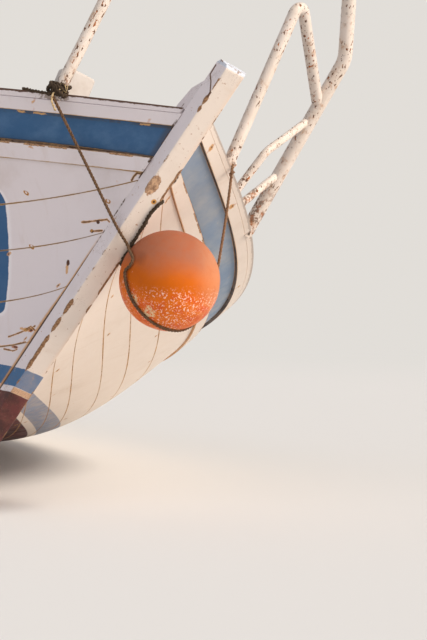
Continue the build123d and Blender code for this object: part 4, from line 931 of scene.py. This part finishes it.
# Cap rails: flat planks with softened corners
CAP_CORNER = 4.0
CAP_STEPS = [8.0 + 6832.0 * (step / 110) ** 1.5 for step in range(111)]
HALF_WIDE, HALF_DEEP = CAP_WIDTH / 2, CAP_THICK / 2 - 1.0
CAP_PROFILE = (
    (-HALF_WIDE, -HALF_DEEP), (-HALF_WIDE, HALF_DEEP - CAP_CORNER), (-HALF_WIDE + 1.2, HALF_DEEP - 1.2),
    (-HALF_WIDE + CAP_CORNER, HALF_DEEP), (-HALF_WIDE / 2, HALF_DEEP + 0.6), (0.0, HALF_DEEP + 0.8),
    (HALF_WIDE / 2, HALF_DEEP + 0.6), (HALF_WIDE - CAP_CORNER, HALF_DEEP), (HALF_WIDE - 1.2, HALF_DEEP - 1.2),
    (HALF_WIDE, HALF_DEEP - CAP_CORNER), (HALF_WIDE, -HALF_DEEP),
)
for side_name, side in SIDES.items():
    sections, places = [], []
    for s in CAP_STEPS:
        edge = hull_point(s, 1.0)
        ahead = hull_point(s + 20, 1.0) - hull_point(s - 20, 1.0)
        inboard = Vector((ahead.y, -ahead.x, 0.0)).normalized()
        inboard = inboard if inboard.y < 0 else -inboard
        middle = edge + inboard * (HALF_WIDE - CAP_OVERHANG) - Vector((0.0, 0.0, CAP_THICK / 2))
        section = []
        for across, high in CAP_PROFILE:
            point = middle + inboard * across
            if across == -HALF_WIDE:
                flush = hull_point(s, level_of_depth(s, CAP_THICK / 2 - high)) + outward(s, 0.99) * RUB_PROUD
                point = Vector((flush.x, flush.y, point.z))
            section.append(at(point.x, max(point.y, 1.0) * side, point.z + high))
            places.append((s / 1000.0, max(HALF_DEEP - high, across + HALF_WIDE), across))
        sections.append(section)
    made = add_mesh(f"cap_skin_{side_name}", *skin(sections), "cap", 50.0)
    carry(made.data, "plank", places)
    stand_for(made, [f"cap_rail_{side_name}"])

# The stem: rows across it from the forefoot up to its worn head
FOREFOOT_RADIUS = 150.0
SOLE_AT_FACE = STEM_SOLE / cos(STEM_RAKE)
FILLET_REACH = FOREFOOT_RADIUS / tan(radians(60.16))
FILLET_START, FILLET_END = SOLE_AT_FACE + FILLET_REACH, SOLE_AT_FACE - FILLET_REACH * sin(STEM_RAKE)
STEM_LOW, STEM_HIGH = (STEM_SOLE - STEM_DEPTH * sin(STEM_RAKE)) / cos(STEM_RAKE), STEM_HEAD / cos(STEM_RAKE)
HEAD_BACK = (
    (1150.8, 215.0), (1199.0, 213.0), (1287.0, 188.0), (1372.0, 106.0), (1433.0, 72.0), (1471.4, 48.0),
)
RABBET = 60.4


def stem_front(along):
    """Depth of the face: none, save at the head's chamfer and the rounded forefoot."""
    if along >= FILLET_START:
        return max(0.0, (along - HEAD_CHAMFER) * 0.9)
    if along >= FILLET_END:
        return FOREFOOT_RADIUS - sqrt(max(FOREFOOT_RADIUS ** 2 - (along - FILLET_START) ** 2, 0.0))
    return (STEM_SOLE - along * cos(STEM_RAKE)) / sin(STEM_RAKE)


def stem_back(along):
    """Depth of the back: straight up to the deck, then curved forward to the head."""
    if along <= HEAD_BACK[0][0]:
        return STEM_DEPTH
    for (low, low_depth), (high, high_depth) in zip(HEAD_BACK, HEAD_BACK[1:]):
        if along <= high:
            return low_depth + (high_depth - low_depth) * (along - low) / (high - low)
    return HEAD_BACK[-1][1]


def half_width(depth):
    """Half the stem's width: bevelled from its face to the rabbet, narrow behind it."""
    if depth > RABBET:
        return APRON_SIDING / 2
    return STEM_FACE / 2 + (STEM_SIDING - STEM_FACE) / 2 * depth / RABBET


def stem_row(along):
    """One row of the stem as depth and place across, from the face round the port side and back."""
    front, back = stem_front(along), stem_back(along)
    worn = 2.2 + 2.5 * abs(noise.noise(Vector((along / 60.0, 0.3, 0.0)))) ** 0.8
    side_line = [(front, half_width(front) - worn), (front + worn * 0.3, half_width(front) - worn * 0.3)]
    side_line.append((front + worn, half_width(front + worn)))
    for share in (0.25, 0.5, 0.75):
        depth = front + worn + (RABBET - worn) * share
        side_line.append((depth, half_width(depth)))
    side_line += [(RABBET, STEM_SIDING / 2), (RABBET + 0.01, APRON_SIDING / 2), (120.0, APRON_SIDING / 2)]
    side_line.append((STEM_DEPTH, APRON_SIDING / 2))
    side_line = [(min(max(depth, front), max(back, front + 1.0)), wide) for depth, wide in side_line]
    middle = [(front, half_width(front) * share) for share in (-0.66, -0.33, 0.0, 0.33, 0.66)]
    port = [(depth, min(wide, half_width(depth) if depth <= RABBET else wide)) for depth, wide in side_line]
    return middle + port + [(depth, -wide) for depth, wide in reversed(port)]


stem_rows = [STEM_LOW + 6.0 * step for step in range(int((STEM_HIGH - STEM_LOW) / 6.0) + 1)] + [STEM_HIGH]
sections, places = [], []
for along in stem_rows:
    section = []
    for depth, across in stem_row(along):
        x = along * sin(STEM_RAKE) - depth * cos(STEM_RAKE)
        z = along * cos(STEM_RAKE) + depth * sin(STEM_RAKE)
        section.append(at(x, across, z))
        places.append((along, depth, across))
    sections.append(section)
made = add_mesh("stem_skin", *skin(sections), "stem", 40.0)
carry(made.data, "timber", places)
stand_for(made, ["stem"])

# The knee that joins the stem's heel to the keel under the planks, as its outline in x and z
KEEL_BOTTOM = -597.4
KNEE_HALF, KNEE_TOP = 49.0, -432.0
KEEL_FORE = STEM_SOLE * tan(STEM_RAKE) - 331.0
KNEE_OUTLINE = (
    (STEM_SOLE * tan(STEM_RAKE) - 76.0, STEM_SOLE + 0.5), (KEEL_FORE + 50.0, STEM_SOLE),
    (KEEL_FORE, KEEL_BOTTOM + 1.0), (KEEL_FORE, KNEE_TOP), (KNEE_TOP * tan(STEM_RAKE) - 76.0, KNEE_TOP),
)
form = bmesh.new()
for across in (-KNEE_HALF, KNEE_HALF):
    form.faces.new([form.verts.new(at(x, across, z)) for x, z in KNEE_OUTLINE])
bmesh.ops.bridge_loops(form, edges=form.edges[:])
bmesh.ops.recalc_face_normals(form, faces=form.faces)
bevelled(form, form.edges[:], 0.004)
knee_mesh = mesh_of(form, bpy.data.meshes.new("forefoot_knee"))
add_piece(add_object("forefoot_knee", knee_mesh, "maroon", 40.0))


def soften(node, name, material, body, corner):
    """A copy of a CAD node with its sharp corners worn round."""
    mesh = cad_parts[node].data.copy()
    mesh.name = name
    form = bmesh.new()
    form.from_mesh(mesh)
    bmesh.ops.remove_doubles(form, verts=form.verts, dist=1e-5)
    bmesh.ops.dissolve_limit(form, angle_limit=radians(1.0), verts=form.verts, edges=form.edges)
    inner = [edge for edge in form.edges if len(edge.link_faces) == 2]
    bevelled(form, [edge for edge in inner if edge.calc_face_angle(0.0) > SHARP], corner / 1000.0)
    stand_for(add_object(name, mesh_of(form, mesh), material, 40.0), [node], body)


# Edges sharper than this are worn; then node, material, slot, body and the corner in millimetres
SHARP = radians(30.0)
SOFTENED = (
    ("bitt", "bitt_wood", "white_paint", "root", 6.0), ("coaming", "white_wood", "white_paint", "root", 4.0),
    ("thwarts", "sole", "deck_paint", "root", 4.0), ("engine_box", "box_wood", "white_paint", "root", 3.0),
    ("hatch_coaming", "white_wood", "white_paint", "root", 3.0),
    ("stern_posts", "white_wood", "white_paint", "root", 5.0),
    ("hatch_lid", "white_wood", "white_paint", "hatch_lid", 3.0),
    ("tiller", "timber", "bare_wood", "rudder", 5.0),
    ("engine_lid", "white_wood", "white_paint", "engine_lid", 3.0),
    ("breasthook", "timber", "bare_wood", "root", 3.0),
    ("transom", "white_wood", "white_paint", "root", 2.0),
    ("rudder", "maroon", "maroon_paint", "rudder", 5.0),
)
for node, material, slot, body, corner in SOFTENED:
    soften(node, f"{node}_worn", material, body, corner)

# The buoy: a moulded ball with a dent where the sling leaves it and a low moulding seam
form = bmesh.new()
bmesh.ops.create_icosphere(form, subdivisions=7, radius=BUOY_RADIUS / 1000.0)
SEAM_AXIS = Vector((0.60, 0.30, -0.20)).normalized()
DENT_DEEP, DENT_WIDE = 0.007, 0.11
for point in form.verts:
    toward = point.co.normalized()
    gap = (toward - DIMPLE).length
    dent = DENT_DEEP * exp(-(gap / DENT_WIDE) ** 2)
    lip = 0.003 * exp(-((gap - 0.22) / 0.07) ** 2)
    waver = 0.0012 * noise.noise(toward * 2.3)
    ridge = 0.0006 * exp(-(toward.dot(SEAM_AXIS) / 0.008) ** 2)
    point.co = toward * (BUOY_RADIUS / 1000.0 - 0.0015 - dent + lip * 0.3 + waver + ridge)
for point in form.verts:
    point.co = at(*(point.co * 1000.0 + BUOY_CENTRE))
buoy_mesh = mesh_of(form, bpy.data.meshes.new("buoy_ball"))
stand_for(add_object("buoy_ball", buoy_mesh, "buoy", 60.0), ["buoy"])


# Ropes
def smooth_line(name, route):
    """Points along the smooth curve of a route given in boat millimetres."""
    data = bpy.data.curves.new(name, "CURVE")
    data.dimensions = "3D"
    data.resolution_u = 24
    spline = data.splines.new("NURBS")
    spline.points.add(len(route) - 1)
    for point, place in zip(spline.points, route):
        point.co = (*at(*place), 1.0)
    spline.order_u = 3
    spline.use_endpoint_u = True
    carrier = bpy.data.objects.new(name, data)
    bpy.context.scene.collection.objects.link(carrier)
    mesh = bpy.data.meshes.new_from_object(carrier)
    line = [point.co.copy() for point in mesh.vertices]
    bpy.data.objects.remove(carrier)
    return line


def even_steps(line, step):
    """The same line with even steps, in metres."""
    out, left = [line[0]], step
    for start, end in zip(line, line[1:]):
        run = (end - start).length
        while run > 1e-9 and left <= run:
            out.append(start.lerp(end, left / run))
            left += step
        left -= run
    return out


def frames_along(line):
    """A pair of axes across each point of the line, carried along without twist."""
    axes, across = [], None
    for index, point in enumerate(line):
        ahead = (line[min(index + 1, len(line) - 1)] - line[max(index - 1, 0)]).normalized()
        if across is None:
            across = ahead.orthogonal().normalized()
        across = (across - ahead * across.dot(ahead)).normalized()
        axes.append((across, ahead.cross(across)))
    return axes


def add_rope(name, route, radius, material, lay=0.045, strands=3, step=0.0035, fray=0.0, sides=8):
    """A laid rope: strands wound round the smooth line of the route."""
    line = even_steps(smooth_line(name, route), step)
    axes = frames_along(line)
    forms = []
    for strand in range(strands):
        sections = []
        for index, (point, (across, up)) in enumerate(zip(line, axes)):
            turn = 2 * pi * (index * step / lay + strand / strands)
            centre = point + (across * cos(turn) + up * sin(turn)) * radius * 0.50
            swell = radius * (0.56 + fray * noise.noise(point * 90.0 + Vector((strand, 0.0, 0.0))))
            sections.append(circle(centre, across, up, swell, sides))
        forms.append(sections)
    return add_mesh(name, *joined(forms), material, 80.0)


LEFT_ROPE = ((245, -458, 985), (284, -321, 857), (323, -185, 730), (362, -54, 604), (352, 20, 565))
BALL_ROPE = (
    (366, 20, 552), (412, 14, 532), (446, 20, 508), (440, 19, 478), (414, 17, 461), (418, 24, 436),
    (433, 46, 394), (445, 82, 355), (455, 128, 328), (461, 176, 313), (462, 226, 308), (456, 276, 316),
    (440, 326, 336), (420, 372, 376), (404, 408, 440), (392, 420, 520), (390, 408, 600),
)
RIGHT_ROPE = (
    (390, 408, 600), (388, 396, 660), (376, 364, 830), (362, 330, 985), (354, 323, 1022), (346, 324, 1046),
    (334, 325, 1056),
)
stand_for(add_rope("sling_rope", LEFT_ROPE + BALL_ROPE, 0.0062, "rope"), ["buoy_sling"])
# The sling's port leg goes on from the same rope in its lighter copy, painted sunlight
add_piece(add_rope("sling_rope_port", RIGHT_ROPE, 0.0058, "pale_rope"))
STEM_CORD = (
    (432, 53, 768), (445, 46, 757), (446, 36, 744), (434, 31, 727), (419, 28, 703), (390, 33, 650),
    (357, 35, 595), (333, 36, 553), (306, 40, 504), (286, 50, 498),
)
add_piece(add_rope("stem_cord", STEM_CORD, 0.0072, "dark_rope", 0.05, 3, 0.003, 0.6))

# The lashing: uneven turns round the foot of the arch, a knot and loose ends
PIPE_UP = (ARCH_CORNER - ARCH_FOOT).normalized()
PIPE_ACROSS = PIPE_UP.orthogonal().normalized()
PIPE_ASIDE = PIPE_UP.cross(PIPE_ACROSS)


def round_pipe(rise, turn, away):
    """A place beside the foot of the arch."""
    out = PIPE_ACROSS * cos(radians(turn)) + PIPE_ASIDE * sin(radians(turn))
    return ARCH_FOOT + PIPE_UP * rise + out * (PIPE_RADIUS + away)


TURNS = (
    (14.0, 7.0, 8.0), (28.0, 8.0, -12.0), (42.0, 7.0, 8.0), (56.0, 8.0, -8.0), (36.0, 20.0, 20.0),
    (24.0, 19.0, -16.0),
)
coils = []
for number, (rise, away, tilt) in enumerate(TURNS):
    for step in range(10):
        wobble = random.uniform(-3.0, 3.0)
        height = rise + tilt * cos(radians(step * 36 + number * 50)) + wobble
        coils.append(tuple(round_pipe(height, step * 36, away + abs(wobble))))
lashing = add_rope("lashing_turns", coils, 0.0075, "dark_rope", 0.04, 3, 0.004, 0.6, 6)
stand_for(lashing, ["lashing"])


def add_wisps(name, count, centre, spread, reach, material):
    """Stray fibres and cut ends that stick out of a knot."""
    forms = []
    for _ in range(count):
        start = centre + Vector([random.uniform(-spread, spread) for _ in range(3)])
        toward = Vector([random.uniform(-1.0, 1.0) for _ in range(3)]).normalized()
        bend = Vector([random.uniform(-0.5, 0.5) for _ in range(3)]) - Vector((0.0, 0.0, 0.5))
        length = reach * random.uniform(0.5, 1.0)
        wide = random.uniform(1.2, 3.2)
        across = toward.orthogonal().normalized()
        sections = []
        for share in (0.0, 0.35, 0.7, 1.0):
            middle = start + toward * length * share + bend * length * share * share * 0.6
            size = wide * (1.0 - 0.85 * share)
            ring = circle(middle, across, toward.cross(across), size, 5)
            sections.append([at(*place) for place in ring])
        forms.append(sections)
    return add_mesh(name, *joined(forms), material, 80.0)


LASHING_CENTRE = ARCH_FOOT + PIPE_UP * 34.0
add_piece(add_wisps("lashing_ends", 60, LASHING_CENTRE, 28.0, 36.0, "dark_rope"))
add_piece(
    add_wisps("lashing_straw", 26, LASHING_CENTRE + Vector((24.0, 2.0, 4.0)), 20.0, 30.0, "straw"),
)
CAP_CORD = (
    (240, -466, 992), (222, -480, 990), (196, -500, 988), (170, -521, 985), (150, -537, 986),
    (136, -546, 984),
)
add_piece(add_rope("cap_cord", CAP_CORD, 0.006, "dark_rope", 0.04, 3, 0.003, 0.6, 6))
STRAW_TAIL = ((247, -460, 1000), (254, -466, 976), (262, -452, 950), (272, -434, 930))
add_piece(add_rope("straw_tail", STRAW_TAIL, 0.0042, "straw", 0.03, 2, 0.003, 0.6, 6))


# The ring at the stay's foot and the knot in it
def add_ring(name, centre, normal, radius, bar, material):
    steps, sides = 40, 12
    normal = Vector(normal).normalized()
    across = normal.orthogonal().normalized()
    aside = normal.cross(across)
    points, faces = [], []
    for step in range(steps):
        turn = 2 * pi * step / steps
        out = across * cos(turn) + aside * sin(turn)
        points += [at(*place) for place in circle(Vector(centre) + out * radius, out, normal, bar, sides)]
        for corner in range(sides):
            ahead = ((step + 1) % steps) * sides
            after = (corner + 1) % sides
            faces.append((step * sides + corner, ahead + corner, ahead + after, step * sides + after))
    return add_mesh(name, points, faces, material, 80.0)


add_piece(add_ring("stay_ring", (327, 326, 1058), (0.80, -0.50, 0.30), 14.0, 4.2, "pipe"))
KNOT = [(357 + 7 * cos(step), 325 + 7 * sin(step), 996 + 3.5 * step) for step in range(9)]
# The knot in the lighter copy of the sling rope, painted sunlight
add_piece(add_rope("sling_knot", KNOT, 0.0045, "pale_rope", 0.04, 3, 0.003, 0.4, 6))

# Every other CAD node keeps its shape and gets its material
NODE_MATERIALS = {
    "maroon": "keel deadwood sternpost",
    "timber":
        "deck_beams frames_port frames_starboard stanchions_port stanchions_starboard riser_port "
        "riser_starboard",
    "dark_timber": "floors engine_bearers",
    "deck": "foredeck aft_deck side_deck_port side_deck_starboard",
    "sole": "sole_boards",
    "pipe": "pulpit_arch pulpit_port_post pulpit_stay pulpit_upper_brace pulpit_lower_brace",
    "bronze": "gudgeons pintles propeller stern_tube",
    "steel": "propeller_shaft",
    "engine": "engine",
}
for material, nodes in NODE_MATERIALS.items():
    for node in nodes.split():
        node_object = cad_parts[node]
        node_object.data.materials.clear()
        node_object.data.materials.append(MATERIALS[material])

# Floor, which fades into the backdrop's colour, and soft studio light
BACKDROP, FLOOR_PAINT = (0.76, 0.73, 0.69), (0.76, 0.755, 0.745)
FLOOR_NEAR, FLOOR_FAR = 5.0, 11.0
SEEN_RAYS = ("Is Camera Ray", "Is Glossy Ray", "Is Transmission Ray")


def seen_ray(tree):
    """One for rays from the camera, mirror and clear surfaces, and none for rays that light the object."""
    path = tree.node("ShaderNodeLightPath")
    return tree.most(*[Value(tree, path.outputs[kind]) for kind in SEEN_RAYS])


def show_behind(tree, share, near, far, output):
    """Puts out a mix of two shaders."""
    blend = tree.node("ShaderNodeMixShader")
    tree.link(share, blend.inputs[0])
    tree.graph.links.new(near.outputs[0], blend.inputs[1])
    tree.graph.links.new(far.outputs[0], blend.inputs[2])
    tree.graph.links.new(blend.outputs[0], tree.graph.nodes[output].inputs["Surface"])


floor_tree = new_paint("studio_floor", False)
floor_tree.colour = FLOOR_PAINT
floor_tree.finish(0.95, specular=0.1)
glow = floor_tree.node("ShaderNodeEmission")
floor_tree.link(BACKDROP, glow.inputs["Color"])
away = floor_tree.length(floor_tree.place)
fade = away.ramp(FLOOR_NEAR, FLOOR_FAR) * seen_ray(floor_tree)
show_behind(floor_tree, fade, floor_tree.shader, glow, "Material Output")
FLOOR_REACH = 60.0
floor_mesh = bpy.data.meshes.new("floor")
floor_corners = [(x * FLOOR_REACH, y * FLOOR_REACH, 0.0) for x, y in ((-1, -1), (1, -1), (1, 1), (-1, 1))]
floor_mesh.from_pydata(floor_corners, [], [(0, 1, 2, 3)])
floor_mesh.materials.append(floor_tree.owner)
floor = bpy.data.objects.new("floor", floor_mesh)
bpy.context.scene.collection.objects.link(floor)

WORLD_LIGHT, WORLD_COLOUR = 0.42, (0.88, 0.89, 0.94)
world = bpy.data.worlds.new("studio")
sky = Tree(world)
sky.link(WORLD_COLOUR, sky.shader.inputs["Color"])
sky.link(WORLD_LIGHT, sky.shader.inputs["Strength"])
backdrop = sky.node("ShaderNodeBackground")
sky.link(BACKDROP, backdrop.inputs["Color"])
show_behind(sky, seen_ray(sky), sky.shader, backdrop, "World Output")
bpy.context.scene.world = world


def add_lamp(label, direction, strength, colour, angle):
    """A far, soft lamp that shines from a direction."""
    lamp_data = bpy.data.lights.new(label, "SUN")
    lamp_data.energy = strength
    lamp_data.color = colour
    lamp_data.angle = radians(angle)
    lamp = bpy.data.objects.new(label, lamp_data)
    lamp.rotation_euler = Vector(direction).to_track_quat("Z", "Y").to_euler()
    bpy.context.scene.collection.objects.link(lamp)


add_lamp("key", (0.62, 0.42, 0.66), 2.35, (1.0, 0.92, 0.82), 14.0)
add_lamp("bounce", (0.72, 0.68, 0.14), 2.40, (1.0, 0.87, 0.75), 36.0)
add_lamp("fill", (0.35, -0.85, 0.40), 0.50, (0.94, 0.93, 1.0), 60.0)
